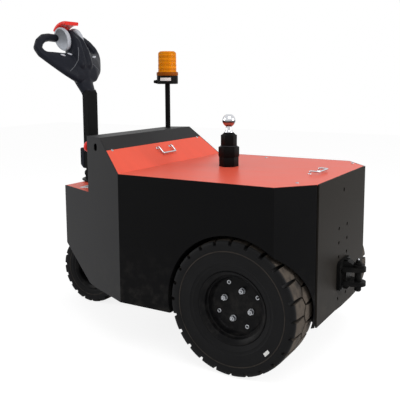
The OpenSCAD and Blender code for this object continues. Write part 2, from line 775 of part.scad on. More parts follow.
module head_cap() color(cover_red) across(2 * wing_end) translate([hub_x, hub_z]) difference() {
    circle(hub_r + cap_t);
    circle(hub_r);
    polygon(concat([[0, 0]], [for (i = [0:8]) 3 * hub_r
        * [cos(cap_back + i * (360 + cap_front - cap_back) / 8), sin(cap_back + i * (360 + cap_front - cap_back) / 8)]]));
}

module throttle_wings() color([0.6, 0.6, 0.62]) for (s = [-1, 1])
    across(wing_t, s * (wing_y + wing_t / 2)) translate([hub_x, hub_z]) wing2d();

floor_plate();
side_panel(1);  // side_panel_left
side_panel(-1);  // side_panel_right
shoulder(1);  // shoulder_left
shoulder(-1);  // shoulder_right
rear_plate();
nose_front();
nose_deck();
cowl_top();
red_cover();
slope_handle();
deck_handle();
wheelhouse(1);  // wheelhouse_left
wheelhouse(-1);  // wheelhouse_right
drive_axle();
drive_motor();
battery();
ball_tower();
tow_ball();
beacon_pole();
beacon_base();
beacon_lens();
hitch_jaw();
hitch_pin();
emergency_stop();
steering_head();
seat_ring();
rim_node(1);  // rim_left
tyre_node(1);  // tyre_left
rim_node(-1);  // rim_right
tyre_node(-1);  // tyre_right
steer_fork();
turntable();
front_axle();
front_rim();
front_tyre();
tilt_pin();
tiller_foot();
tiller_column();
spring_cover();
tiller_head();
hand_loops();
head_cap();
throttle_wings();
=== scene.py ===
import json
from math import acos, asin, atan2, copysign, cos, pi, radians, sin

import bmesh
import bpy
from mathutils import Matrix, Vector
from mathutils.bvhtree import BVHTree


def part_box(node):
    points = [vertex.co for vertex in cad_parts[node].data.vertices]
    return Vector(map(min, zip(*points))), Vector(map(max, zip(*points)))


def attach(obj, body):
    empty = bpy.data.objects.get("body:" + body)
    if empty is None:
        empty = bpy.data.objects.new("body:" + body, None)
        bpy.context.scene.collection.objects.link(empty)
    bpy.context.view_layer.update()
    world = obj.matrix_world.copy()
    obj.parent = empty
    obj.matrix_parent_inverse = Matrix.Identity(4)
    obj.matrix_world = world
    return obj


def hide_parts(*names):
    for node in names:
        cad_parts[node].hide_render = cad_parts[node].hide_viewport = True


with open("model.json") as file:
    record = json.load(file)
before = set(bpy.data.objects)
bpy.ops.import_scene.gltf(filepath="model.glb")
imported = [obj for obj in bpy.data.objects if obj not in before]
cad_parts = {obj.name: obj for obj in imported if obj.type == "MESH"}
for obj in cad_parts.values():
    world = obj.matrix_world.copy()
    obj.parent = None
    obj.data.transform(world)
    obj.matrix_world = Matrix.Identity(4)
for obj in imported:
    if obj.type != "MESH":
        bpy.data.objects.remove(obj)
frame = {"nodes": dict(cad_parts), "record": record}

bl_info = {
    "name": "Electric Tow Tractor",
    "version": (1, 0, 0),
    "blender": (4, 5, 0),
    "location": "View3D > Sidebar > Tractor",
    "description": "Dresses a pedestrian electric tow tractor with its panels, tyres, tiller and fittings",
    "category": "Object",
}

# Pieces are modelled in millimetres, in a vehicle frame whose X starts at the rear axle.
NODES = frame["nodes"]
REAR_X = 500 * sum(corner.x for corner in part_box("tyre_left"))
TO_ROW = Matrix.Scale(0.001, 4) @ Matrix.Translation((REAR_X, 0, 0))
BODY_OF = {
    node: body for body, members in frame["record"]["behaviour"]["bodies"].items() for node in members
}
SLOT_OF = {part["node"]: part["material_slot"] for part in frame["record"]["subparts"]}
SIDES = {"left": 1, "right": -1}

# ---------------------------------------------------------------- shader maths


class Wire:
    """A value in a node tree; sums and products of wires add Math nodes."""

    def __init__(self, tree, socket):
        self.tree = tree
        self.socket = socket

    def math(self, operation, *values):
        return self.tree.add("ShaderNodeMath", {"operation": operation}, dict(enumerate(values)))

    def __add__(self, other):
        return self.math("ADD", self, other)

    def __radd__(self, other):
        return self.math("ADD", other, self)

    def __sub__(self, other):
        return self.math("SUBTRACT", self, other)

    def __rsub__(self, other):
        return self.math("SUBTRACT", other, self)

    def __mul__(self, other):
        return self.math("MULTIPLY", self, other)

    def __rmul__(self, other):
        return self.math("MULTIPLY", other, self)

    def larger(self, other):
        return self.math("MAXIMUM", self, other)

    def sine(self):
        return self.math("SINE", self)

    def ramp(self, low, high):
        """0 below low, 1 above high, smooth between."""
        return self.tree.add(
            "ShaderNodeMapRange",
            {"interpolation_type": "SMOOTHSTEP", "clamp": True},
            {"Value": self, "From Min": low, "From Max": high},
        )


class Nodes:
    """An emptied node tree, filled node by node."""

    def __init__(self, tree):
        self.tree = tree
        tree.nodes.clear()

    def add(self, kind, settings=(), sockets=(), out=0):
        """Adds a node, sets it up, plugs in its sockets and gives one of its outputs."""
        node = self.tree.nodes.new(kind)
        for setting, value in dict(settings).items():
            setattr(node, setting, value)
        for socket, value in dict(sockets).items():
            self.plug(node.inputs[socket], value)
        return Wire(self, node.outputs[out]) if node.outputs else None

    def plug(self, socket, value):
        if isinstance(value, Wire):
            self.tree.links.new(value.socket, socket)
        elif socket.type == "RGBA":
            socket.default_value = (*value[:3], 1.0)
        else:
            socket.default_value = value

    def seen(self):
        """1 for what the camera, a mirror or glass sees, and 0 for the light on the object."""
        rays = ("Camera", "Glossy", "Transmission")
        camera, mirror, glass = (self.add("ShaderNodeLightPath", out=f"Is {ray} Ray") for ray in rays)
        return camera.larger(mirror).larger(glass)


class Paint(Nodes):
    """A procedural material: one Principled shader and the nodes that feed it."""

    def __init__(self, name, slot=None, **constants):
        self.slot = slot or name
        self.material = bpy.data.materials.new(name)
        self.material.use_nodes = True
        super().__init__(self.material.node_tree)
        self.surface = self.add("ShaderNodeBsdfPrincipled")
        self.shader = self.surface.socket.node
        self.output = self.tree.nodes.new("ShaderNodeOutputMaterial")
        self.plug(self.output.inputs["Surface"], self.surface)
        self.feed(**constants)
        self.place = self.add("ShaderNodeTexCoord", out="Object")

    def feed(self, **sockets):
        for socket, value in sockets.items():
            self.plug(self.shader.inputs[socket.replace("_", " ")], value)
        return self

    def noise(self, scale, detail=2.0, roughness=0.5, stretch=(1, 1, 1)):
        vector = self.place
        if stretch != (1, 1, 1):
            vector = self.add("ShaderNodeMapping", sockets={"Vector": vector, "Scale": stretch})
        return self.add(
            "ShaderNodeTexNoise",
            sockets={"Vector": vector, "Scale": scale, "Detail": detail, "Roughness": roughness},
        )

    def height(self):
        return self.add("ShaderNodeSeparateXYZ", sockets={0: self.place}, out=2)

    def mix(self, factor, first, second):
        return self.add(
            "ShaderNodeMix", {"data_type": "RGBA"}, {0: factor, 6: first, 7: second}, out=2
        )

    def bump(self, height, distance, strength=1.0):
        return self.add(
            "ShaderNodeBump", sockets={"Height": height, "Distance": distance, "Strength": strength}
        )


def tint(colour, factor):
    return tuple(channel * factor for channel in colour)


def powder_coat(name, colour, roughness=0.5, specular=0.05, grain=0.00006, sheen=0.0):
    """Satin powder coat: fine orange peel, faint cloudiness, dust towards the floor; a sheen adds a painted
    reflection, a clear coat that thins with height so the lower part looks lighter.
    """
    paint = Paint(name, Specular_IOR_Level=specular, Coat_Roughness=roughness)
    # Painted reflection: the clear coat thins out with height, so the lower part reflects more and looks
    # lighter, the upper part darker.
    if sheen:
        paint.feed(Coat_Weight=(1 - paint.height().ramp(0.25, 0.66)) * sheen)
    peel = paint.noise(900, 2)
    cloud = paint.noise(5, 4, 0.6)
    dust = (1 - paint.height().ramp(0.17, 0.42)) * paint.noise(24, 5, 0.65).ramp(0.42, 0.75)
    base = paint.mix(cloud, tint(colour, 0.86), tint(colour, 1.14))
    return paint.feed(
        Base_Color=paint.mix(dust * 0.12, base, (0.12, 0.11, 0.10)),
        Roughness=roughness + (cloud - 0.5) * 0.10 + dust * 0.08,
        Normal=paint.bump(peel, grain),
    )


def gloss_red(name, colour):
    """Gloss powder coat with a soft orange peel and faint wiping marks."""
    paint = Paint(name, Coat_Weight=0.02, Coat_Roughness=0.12, Specular_IOR_Level=0.07)
    wipe = paint.noise(7, 5, 0.62, (1, 3, 1))
    peel = paint.noise(160, 2)
    specks = paint.noise(420, 1).ramp(0.72, 0.78)
    return paint.feed(
        Base_Color=paint.mix(wipe, tint(colour, 0.92), tint(colour, 1.06)),
        Roughness=0.30 + wipe * 0.12 + specks * 0.1,
        Normal=paint.bump(peel, 0.00008),
    )


def rubber(name):
    """Moulded rubber: fine grain, dull sheen, brown dust on the running face, and the same pale brown,
    fainter, along the sidewall's ridge as a painted highlight.
    """
    paint = Paint(name, Specular_IOR_Level=0.06)
    grain = paint.noise(700, 3)
    cloud = paint.noise(14, 4, 0.6)
    # The tread attribute carries real dust on the running face and a painted highlight on the sidewall's
    # ridge.
    dust_and_highlight = paint.add("ShaderNodeAttribute", {"attribute_name": "tread"}, out="Fac")
    dust = dust_and_highlight * paint.noise(22, 5, 0.7).ramp(0.2, 0.6)
    base = paint.mix(cloud, (0.006, 0.006, 0.0065), (0.012, 0.012, 0.0125))
    return paint.feed(
        Base_Color=paint.mix(dust, base, (0.080, 0.066, 0.054)),
        Roughness=0.52 + (cloud - 0.5) * 0.16 + dust * 0.25,
        Normal=paint.bump(grain, 0.00012),
    )


def bright_metal(name, colour, roughness, brushed=0.02, dusk=None, slot=None):
    """Chrome or zinc with light smears; a painted reflection of dark surroundings can make a dark band just
    under a given height and darken the metal below it a little.
    """
    paint = Paint(name, slot, Metallic=1.0)
    smear = paint.noise(30, 4, 0.6)
    grain = paint.noise(260, 3, 0.6)
    base = paint.mix(smear, tint(colour, 0.9), colour)
    # Painted reflection: the dark band stands in for dark surroundings mirrored in the chrome, and below it
    # the metal is a little darker too.
    if dusk:
        height = paint.height()
        above, below = height.ramp(dusk, dusk + 0.005), 1 - height.ramp(dusk - 0.010, dusk - 0.004)
        base = paint.mix(above + below * 0.85, tint(colour, 0.16), base)
    return paint.feed(
        Base_Color=base,
        Roughness=roughness + smear * brushed * 2 + grain * brushed,
        Normal=paint.bump(grain, 0.00003),
    )


def moulded(
    name, colour, roughness=0.45, grain=1100, depth=0.00005, specular=0.1, coat=0.0, fade=None, slot=None
):
    """Moulded plastic with a fine spark-eroded grain; painted shade can darken it above given heights."""
    paint = Paint(name, slot, Specular_IOR_Level=specular, Coat_Weight=coat, Coat_Roughness=0.1)
    texture = paint.noise(grain, 2)
    cloud = paint.noise(18, 3, 0.6)
    base = paint.mix(cloud, tint(colour, 0.9), tint(colour, 1.1))
    # Painted shade: darker above these heights, as on the upper part of a hollow dish that the light
    # misses.
    if fade:
        base = paint.mix(paint.height().ramp(*fade), base, tint(colour, 0.42))
    return paint.feed(
        Base_Color=base,
        Roughness=roughness + (cloud - 0.5) * 0.1,
        Normal=paint.bump(texture, depth),
    )


def amber_glow(name, light, dark):
    """Amber lens: paler and darker bands where the prisms inside gather the light."""
    paint = Paint(name, Coat_Weight=0.02, Coat_Roughness=0.08, Specular_IOR_Level=0.04)
    band = (paint.height() * (2 * pi / 0.0172)).sine() * 0.5 + 0.5
    flute = paint.noise(60, 2, 0.5, (1, 1, 0.05))
    depth = (band * 0.35 + flute * 0.7).ramp(0.15, 0.95)
    return paint.feed(
        Base_Color=paint.mix(depth, dark, light),
        Roughness=0.16 + paint.noise(40, 3) * 0.1,
        Normal=paint.bump(band, 0.0004, 0.5),
    )


def finishes():
    """The tractor's finishes: the record's material slots by name, and some that share a slot."""
    colours = bpy.context.scene.tractor_paint
    amber, paddle, grip = colours.amber, colours.paddle, colours.grip
    makers = {
        "body_black": (powder_coat, (colours.black, 0.5, 0.03)),
        "shoulder_grey": (powder_coat, ((0.021, 0.021, 0.022), 0.46, 0.06)),
        # The rear plate's sheen is a painted reflection, lighter low down.
        "plate_grey": (powder_coat, ((0.016, 0.014, 0.012), 0.5, 0.02), {"sheen": 0.09}),
        "cover_red": (gloss_red, (colours.red,)),
        "cast_black": (powder_coat, ((0.005, 0.005, 0.005), 0.4, 0.04, 0.0003)),
        "drive_grey": (powder_coat, ((0.05, 0.05, 0.055), 0.5)),
        "rim_grey": (powder_coat, ((0.005, 0.005, 0.0055), 0.30, 0.055)),
        # The tow ball's chrome gets its painted reflection band at 0.811 m.
        "bright_steel": (bright_metal, ((0.68, 0.69, 0.72), 0.07), {"dusk": 0.811}),
        "zinc_steel": (bright_metal, ((0.66, 0.67, 0.69), 0.28, 0.06)),
        "nut_zinc": (bright_metal, ((0.38, 0.39, 0.41), 0.22, 0.08), {"slot": "zinc_steel"}),
        "grip_plastic": (moulded, (grip, 0.40), {"specular": 0.07}),
        # A paler plastic for the beads along the head's seam lines: a painted highlight where the head's
        # parts meet.
        "head_seam": (moulded, ((0.12, 0.125, 0.14), 0.35), {"slot": "grip_plastic"}),
        "grey_plastic": (moulded, (paddle, 0.30), {"specular": 0.2}),
        # The paddles' dishes get painted shade towards their tops.
        "paddle_dish": (
            moulded, (tint(paddle, 1.15), 0.22),
            {"specular": 0.3, "fade": (1.10, 1.17), "slot": "grey_plastic"},
        ),
        "blank_label": (moulded, ((0.72, 0.72, 0.70), 0.4, 500, 0.00002), {"slot": "grey_plastic"}),
        "red_plastic": (moulded, ((0.72, 0.026, 0.018), 0.28), {"coat": 0.12}),
        "battery_case": (moulded, ((0.04, 0.045, 0.05), 0.5)),
        "lens_flange": (moulded, ((0.24, 0.062, 0.004), 0.3), {"specular": 0.04, "slot": "amber_lens"}),
        "amber_lens": (amber_glow, (amber, tint(amber, 0.62))),
        "tyre_rubber": (rubber, ()),
    }
    return {
        name: make(name, *values, **dict(*extra)) for name, (make, values, *extra) in makers.items()
    }


PAINTS = {}


def paint_of(name):
    """A finish by its name; all are mixed when the first one is asked for."""
    if not PAINTS:
        PAINTS.update(finishes())
    return PAINTS[name]


# ------------------------------------------------------------------- settings


def size(name, description, default, low, high, **kind):
    return bpy.props.FloatProperty(
        name=name, description=description, default=default, min=low, max=high, **kind
    )


def colour(name, description, default):
    return bpy.props.FloatVectorProperty(
        name=name, description=description, default=default, subtype="COLOR", min=0, max=1
    )


class StageSettings(bpy.types.PropertyGroup):
    lens: size("Lens", "Focal length of the camera", 57.71, 10, 200, unit="CAMERA")
    floor_white: size("Floor white", "How pale the floor is", 0.9, 0, 1, subtype="FACTOR")
    lamp_level: size("Lamp level", "Strength of the soft lamps", 1.0, 0, 4)


class PaintSettings(bpy.types.PropertyGroup):
    black: colour("Body black", "Powder coat of the side panels", (0.0050, 0.0050, 0.0053))
    red: colour("Cover red", "Gloss paint of the cover and the nose deck", (0.76, 0.105, 0.062))
    grip: colour("Grip black", "Plastic of the tiller's head", (0.011, 0.0125, 0.018))
    paddle: colour("Paddle grey", "Plastic of the throttle paddles", (0.40, 0.42, 0.46))
    amber: colour("Beacon amber", "Lens of the beacon", (0.84, 0.27, 0.005))


class EdgeSettings(bpy.types.PropertyGroup):
    sheet: size("Sheet edge", "Rounding of the folded sheets' edges, mm", 1.6, 0.2, 3)
    casting: size("Casting edge", "Rounding of the castings' edges, mm", 2.5, 0.2, 4)
    moulding: size("Moulding edge", "Rounding of the plastic covers' edges, mm", 4.0, 0.2, 8)
    handle_drop: size("Handle drop", "Reach of a folded drop handle, mm", 34.0, 20, 50)


class TreadSettings(bpy.types.PropertyGroup):
    zigzag: size("Zigzag", "Sideways swing of the middle groove, mm", 10.0, 2, 12)
    middle_squeeze: size(
        "Middle squeeze", "Groove width at the middle as a share of the shoulder's", 0.45, 0.3, 1
    )


class WheelSettings(bpy.types.PropertyGroup):
    nut_circle: size("Nut circle", "Radius of the circle of wheel nuts, mm", 52.0, 45, 60)
    ring_circle: size("Ring circle", "Radius of the circle of small rings, mm", 79.0, 70, 82)


class HeadSettings(bpy.types.PropertyGroup):
    lean: size("Head lean", "Forward lean of the tiller's head, degrees", 28.0, 20, 35)
    grain: size("Skin step", "Size of the faces of the head's skin, mm", 3.0, 2, 6)
    button: size("Button", "Half length of a button, mm", 13.5, 8, 16)


SETTINGS = {
    "tractor_stage": StageSettings, "tractor_paint": PaintSettings, "tractor_edges": EdgeSettings,
    "tractor_tread": TreadSettings, "tractor_wheels": WheelSettings, "tractor_head": HeadSettings,
}


# ------------------------------------------------------------------- modelling

# For each axis: its direction, the direction that angle 0 points in, and the axis to turn about.
TURNS = {
    "X": (Vector((1, 0, 0)), Vector((0, 1, 0)), Vector((1, 0, 0))),
    "Y": (Vector((0, 1, 0)), Vector((1, 0, 0)), Vector((0, -1, 0))),
    "Z": (Vector((0, 0, 1)), Vector((1, 0, 0)), Vector((0, 0, 1))),
}


def shown(name, data):
    """An object in the scene, at the origin and unturned."""
    thing = bpy.data.objects.new(name, data)
    bpy.context.collection.objects.link(thing)
    return thing


def as_mesh(name, bm):
    mesh = bpy.data.meshes.new(name)
    bm.to_mesh(mesh)
    bm.free()
    return mesh


def closed_up(bm):
    bmesh.ops.remove_doubles(bm, verts=bm.verts, dist=0.001)
    bmesh.ops.recalc_face_normals(bm, faces=bm.faces)
    return bm


def shifted(bm, place):
    bmesh.ops.translate(bm, vec=place, verts=bm.verts)
    return bm


def placed(bm, matrix):
    bmesh.ops.transform(bm, matrix=matrix, verts=bm.verts)
    return bm


def standing(place, along, up="Y"):
    """Stands a shape made about Z on a place, along a direction."""
    return Matrix.Translation(place) @ along.to_track_quat("Z", up).to_matrix().to_4x4()


def leaning(place, lean):
    """Leans a shape forward by degrees and moves it to a place."""
    return Matrix.Translation(place) @ Matrix.Rotation(radians(lean), 4, "Y")


def lathe(rows, place=(0, 0, 0), axis="Z", steps=64, ring=False, start=0.0, turn=360.0):
    """Spins rows of (along, radius) about an axis; ring closes the section on itself."""
    along, out, about = TURNS[axis]
    bm = bmesh.new()
    points = [bm.verts.new(along * far + out * radius) for far, radius in rows]
    for pair in zip(points, points[1:] + (points[:1] if ring else [])):
        bm.edges.new(pair)
    first = Matrix.Rotation(radians(start), 3, about)
    bmesh.ops.rotate(bm, verts=bm.verts, cent=(0, 0, 0), matrix=first)
    bmesh.ops.spin(
        bm, geom=bm.verts[:] + bm.edges[:], axis=about, cent=(0, 0, 0), dvec=(0, 0, 0),
        angle=radians(turn), steps=steps, use_merge=turn == 360, use_duplicate=False,
    )
    if ring and turn != 360:
        bmesh.ops.holes_fill(bm, edges=[e for e in bm.edges if e.is_boundary], sides=0)
    return shifted(closed_up(bm), place)


def joined(*parts):
    whole = bmesh.new()
    for part in parts:
        mesh = as_mesh("part", part)
        whole.from_mesh(mesh)
        bpy.data.meshes.remove(mesh)
    return whole


def turned_copies(bm, count, centre, first=0.0):
    """Copies of a shape round a wheel's centre, the first turned by an angle in degrees."""
    mesh = as_mesh("one", bm)
    whole = bmesh.new()
    for i in range(count):
        seen = set(whole.verts)
        whole.from_mesh(mesh)
        bmesh.ops.rotate(
            whole, verts=[v for v in whole.verts if v not in seen], cent=centre,
            matrix=Matrix.Rotation(radians(first + 360 * i / count), 3, TURNS["Y"][2]),
        )
    bpy.data.meshes.remove(mesh)
    return whole


def points_of(geometry):
    return [item for item in geometry if isinstance(item, bmesh.types.BMVert)]


def wrapped(bm):
    """The skin stretched over the points of a mesh."""
    hull = bmesh.ops.convex_hull(bm, input=bm.verts)
    inside = set(points_of(hull["geom_interior"] + hull["geom_unused"]))
    bmesh.ops.delete(bm, geom=list(inside), context="VERTS")
    bmesh.ops.recalc_face_normals(bm, faces=bm.faces)
    return bm


def wedge(rows):
    """A solid stretched over bars that run sideways, each given by x, z and half its length."""
    bm = bmesh.new()
    for x, z, half in rows:
        for y in (-half, half):
            bm.verts.new((x, y, z))
    wrapped(bm)
    bmesh.ops.dissolve_limit(bm, angle_limit=radians(1), verts=bm.verts, edges=bm.edges)
    return bm


def rounded(bm, edges, width, segments, clamp=True):
    bmesh.ops.bevel(
        bm, geom=edges, offset=width, offset_type="OFFSET", segments=segments, profile=0.5,
        affect="EDGES", clamp_overlap=clamp, material=-1,
    )
    return bm


def bevelled(bm, width, segments=2, corner=30.0):
    """Rounds every edge whose faces meet at more than a corner angle."""
    folds = [e for e in bm.edges if len(e.link_faces) == 2 and e.calc_face_angle(0) > radians(corner)]
    return rounded(bm, folds, width, segments)


def hex_bar(radius, low, high, rim=1.5):
    """An upright hexagonal bar with its edges rounded."""
    bm = bmesh.new()
    bmesh.ops.create_circle(bm, segments=6, radius=radius, cap_ends=True)
    top = points_of(bmesh.ops.extrude_face_region(bm, geom=bm.faces[:])["geom"])
    bmesh.ops.translate(bm, vec=(0, 0, high - low), verts=top)
    bmesh.ops.recalc_face_normals(bm, faces=bm.faces)
    return bevelled(shifted(bm, (0, 0, low)), rim)


def block(low, high, rim, segments):
    """A box between two corners, its edges rounded."""
    bm = bmesh.new()
    bmesh.ops.create_cube(bm, size=1)
    low, high = Vector(low), Vector(high)
    bmesh.ops.scale(bm, vec=high - low, verts=bm.verts)
    bmesh.ops.translate(bm, vec=(low + high) / 2, verts=bm.verts)
    return bevelled(bm, rim, segments)


def rod(points, radius, sides=12):
    """A round wire through points, its bends smoothed, as a closed mesh."""
    curve = bpy.data.curves.new("rod", "CURVE")
    curve.dimensions = "3D"
    curve.bevel_depth = radius
    curve.bevel_resolution = max(1, sides // 4 - 1)
    curve.use_fill_caps = True
    curve.resolution_u = 8
    spline = curve.splines.new("NURBS")
    spline.points.add(len(points) - 1)
    for point, place in zip(spline.points, points):
        point.co = (*place, 1)
    spline.use_endpoint_u = True
    spline.order_u = 4
    holder = bpy.data.objects.new("rod", curve)
    mesh = bpy.data.meshes.new_from_object(holder)
    bm = bmesh.new()
    bm.from_mesh(mesh)
    bpy.data.objects.remove(holder)
    bpy.data.curves.remove(curve)
    bpy.data.meshes.remove(mesh)
    return closed_up(bm)


def node_copy(*names):
    """The CAD nodes' triangles merged into one mesh, in millimetres from the rear axle."""
    bm = bmesh.new()
    for name in names:
        bm.from_mesh(NODES[name].data)
    placed(bm, TO_ROW.inverted())
    bmesh.ops.remove_doubles(bm, verts=bm.verts, dist=0.01)
    bmesh.ops.dissolve_limit(bm, angle_limit=radians(0.5), verts=bm.verts, edges=bm.edges)
    return bm


def dome(radius, height, place, axis="Z", socket=0.0):
    """A screw's low round head; a radius sinks a socket in it."""
    brim, floor = height * 0.35, height * 0.4
    rows = [(-1, 0), (-1, radius), (brim, radius)]
    rows += [(height * (0.35 + 0.65 * sin(a)), radius * cos(a)) for a in (0.4, 0.8, 1.15)]
    rows += [(height, socket), (floor, socket * 0.9), (floor, 0)] if socket else [(height, 0)]
    return lathe(rows, place, axis, 20)


def hex_bolt(radius, height, place, along, washer):
    """A hexagon head on its washer, standing out of a face."""
    wide, brim = radius * 1.25, radius * 1.18
    plate = lathe([(-1, 0), (-1, wide), (washer - 0.3, wide), (washer, brim), (washer, 0)], steps=28)
    return placed(joined(hex_bar(radius, washer, washer + height, 0.9), plate), standing(place, along))


def build(name, bm, paint, body, replaces=(), sharp=35.0, weighted=False):
    """Makes a piece of a shape in millimetres: smooth faces, sharp edges by angle, a finish and a body."""
    for face in placed(bm, TO_ROW).faces:
        face.smooth = True
    mesh = as_mesh(name, bm)
    mesh.set_sharp_from_angle(angle=radians(sharp))
    finish = paint_of(paint)
    mesh.materials.append(finish.material)
    piece = shown(name, mesh)
    if weighted:
        even = piece.modifiers.new("even_shading", "WEIGHTED_NORMAL")
        even.keep_sharp = True
    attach(piece, body)
    if replaces:
        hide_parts(*replaces)
    return piece


# ------------------------------------------------------------------- the stage

# The photograph's camera: heading, dip and roll in degrees, place in metres, and the frame's shift.
CAMERA_TURN = (-59.52, 7.77, -0.29)
CAMERA_PLACE = (-1.28567, 2.1345, 0.96769)
CAMERA_SHIFT = (-0.0049, -0.0837)
WHITE = (1, 1, 1)
AMBIENT = 0.5
FLOOR_HALF = 9
# How strongly the floor glows, and the share of it that the camera sees instead of the lit floor.
FLOOR_GLOW, GLOW_SHARE = 1.2, 0.7
LAMP_TARGET = Vector((0, 0, 0.45))
# Each lamp's strength in watts, width and place in metres.
LAMPS = {
    "key_lamp": (44, 2.2, (-1.5, 1.5, 3.5)),
    "front_lamp": (32, 2.0, (2.8, 1.6, 1.6)),
    "rear_lamp": (50, 1.6, (-3.0, -0.8, 1.4)),
}


def photograph_frame():
    """The camera's axes and place, as fitted to the photograph."""
    heading, dip, roll = (radians(angle) for angle in CAMERA_TURN)
    ahead = Vector((cos(heading) * cos(dip), sin(heading) * cos(dip), -sin(dip)))
    right = Vector((sin(heading), -cos(heading), 0))
    up = right.cross(ahead)
    right, up = cos(roll) * right + sin(roll) * up, cos(roll) * up - sin(roll) * right
    return Matrix.Translation(CAMERA_PLACE) @ Matrix((right, up, -ahead)).transposed().to_4x4()


def floor_material(white):
    """A floor that shows white to the camera but keeps the object's shadow."""
    paint = Paint("floor", Roughness=0.9, Specular_IOR_Level=0.0)
    paler = min(white * 1.02, 1)
    paint.feed(Base_Color=paint.mix(paint.noise(2, 2), (white,) * 3, (paler,) * 3))
    glow = paint.add("ShaderNodeEmission", sockets={"Color": WHITE, "Strength": FLOOR_GLOW})
    lit = paint.add(
        "ShaderNodeMixShader", sockets={0: paint.seen() * GLOW_SHARE, 1: paint.surface, 2: glow}
    )
    paint.plug(paint.output.inputs["Surface"], lit)
    return paint.material


class TRACTOR_OT_stage(bpy.types.Operator):
    """Sets the camera at the photograph's viewing angle, with a pale floor and soft lamps"""

    bl_idname = "tractor.stage"
    bl_label = "Camera and stage"

    def execute(self, context):
        shot = context.scene.tractor_stage
        context.scene.view_settings.view_transform = "Standard"
        camera = shown("camera", bpy.data.cameras.new("camera"))
        camera.data.lens = shot.lens
        camera.data.sensor_width = 36.0
        camera.data.shift_x, camera.data.shift_y = CAMERA_SHIFT
        camera.matrix_world = photograph_frame()
        context.scene.camera = camera

        world = bpy.data.worlds.new("studio")
        world.use_nodes = True
        context.scene.world = world
        sky = Nodes(world.node_tree)
        strength = sky.add(
            "ShaderNodeMapRange", sockets={"Value": sky.seen(), "To Min": AMBIENT, "To Max": 1.0}
        )
        light = sky.add("ShaderNodeBackground", sockets={"Color": WHITE, "Strength": strength})
        sky.add("ShaderNodeOutputWorld", sockets={"Surface": light})

        bm = bmesh.new()
        bmesh.ops.create_grid(bm, x_segments=1, y_segments=1, size=FLOOR_HALF)
        floor = shown("floor", as_mesh("floor", bm))
        floor.data.materials.append(floor_material(shot.floor_white))

        for name, (energy, width, place) in LAMPS.items():
            lamp = shown(name, bpy.data.lights.new(name, "AREA"))
            lamp.data.energy = energy * shot.lamp_level
            lamp.data.size = width
            aim = (LAMP_TARGET - Vector(place)).to_track_quat("-Z", "Y")
            lamp.matrix_world = Matrix.Translation(place) @ aim.to_matrix().to_4x4()
        return {"FINISHED"}


# ------------------------------------------------------------------- operators

SHEETS = (
    "side_panel_left", "side_panel_right", "shoulder_left", "shoulder_right", "rear_plate",
    "nose_front", "nose_deck", "cowl_top", "red_cover",
)
CASTINGS = (
    "hitch_jaw", "turntable", "tiller_foot", "steer_fork", "tiller_column", "steering_head", "drive_axle",
)
ROUNDS = ("seat_ring", "tilt_pin", "front_axle", "beacon_pole", "drive_motor")
# The hitch's base plate: the height of its middle, half its size less a margin, and its corners' rounding.
HITCH_PLATE = {"middle": 290, "half_height": 51, "half_width": 59, "corner": 16}
# The spring cover's outline; its foot is cut away to clear the turntable when the tiller is right down.
SPRING_COVER = (
    (889.5, 588, 34), (898, 592, 34), (910.5, 606, 34), (910.5, 676, 34), (906, 678, 34), (889.5, 678, 34),
)


class TRACTOR_OT_finishes(bpy.types.Operator):
    """Gives every CAD node that stays in view its paint, metal, rubber or plastic"""

    bl_idname = "tractor.finishes"
    bl_label = "Finishes"

    def execute(self, context):
        PAINTS.clear()
        for node, slot in SLOT_OF.items():
            finish = paint_of(slot)
            slots = NODES[node].data.materials
            slots.clear()
            slots.append(finish.material)
        return {"FINISHED"}


class TRACTOR_OT_panels(bpy.types.Operator):
    """Rounds the folds and cut edges of the body's sheets"""

    bl_idname = "tractor.panels"
    bl_label = "Body panels"

    def execute(self, context):
        width = context.scene.tractor_edges.sheet
        for node in SHEETS:
            bm = bevelled(node_copy(node), width)
            paint = "shoulder_grey" if node == "cowl_top" else SLOT_OF[node]
            build(f"{node}_sheet", bm, paint, BODY_OF[node], (node,), weighted=True)
        return {"FINISHED"}


def plate_corners(bm):
    """The four edges through the thickness of the hitch's base plate, at its corners."""
    plate = HITCH_PLATE
    outer = [
        edge for edge in bm.edges
        if all(
            abs(v.co.y) > plate["half_width"] and abs(v.co.z - plate["middle"]) > plate["half_height"]
            for v in edge.verts
        )
    ]
    return [edge for edge in outer if abs(edge.verts[0].co.x - edge.verts[1].co.x) > 2]


class TRACTOR_OT_castings(bpy.types.Operator):
    """Rounds the castings, the tiller's column and its spring cover, and smooths the round parts"""

    bl_idname = "tractor.castings"
    bl_label = "Castings and bars"

    def execute(self, context):
        edges = context.scene.tractor_edges
        for node in CASTINGS:
            bm = node_copy(node)
            if node == "hitch_jaw":
                rounded(bm, plate_corners(bm), HITCH_PLATE["corner"], 4, False)
            bm = bevelled(bm, edges.casting)
            build(f"{node}_casting", bm, SLOT_OF[node], BODY_OF[node], (node,), weighted=True)
        for node in ROUNDS:
            paint = "cast_black" if node == "tilt_pin" else SLOT_OF[node]
            build(f"{node}_smooth", node_copy(node), paint, BODY_OF[node], (node,), sharp=40)
        cover = bevelled(wedge(SPRING_COVER), edges.moulding, 4)
        build("spring_cover_shell", cover, "grip_plastic", "tiller", ("spring_cover",), weighted=True)
        screw = dome(4, 2, (886, 31.5, 818), "Y", 2)
        build("column_screw", screw, "drive_grey", "tiller")
        return {"FINISHED"}


# Twelve cuts a pitch, as shares of it: the left side's groove is at 0 and the right side's at a half.
CUTS = (-0.11, -0.08, 0, 0.08, 0.11, 0.25, 0.39, 0.42, 0.5, 0.58, 0.61, 0.75)
GROOVE_EDGE = 0.11
FLOOR_CUTS = {1: (1, 2, 3), -1: (7, 8, 9)}
DUSTY_ROW = 3
# How much of the dust colour the sidewall's ridge gets, as a painted highlight for the light the ridge
# catches.
PAINTED_RIDGE_HIGHLIGHT = 0.4
SHOULDER_MARK = 0.6
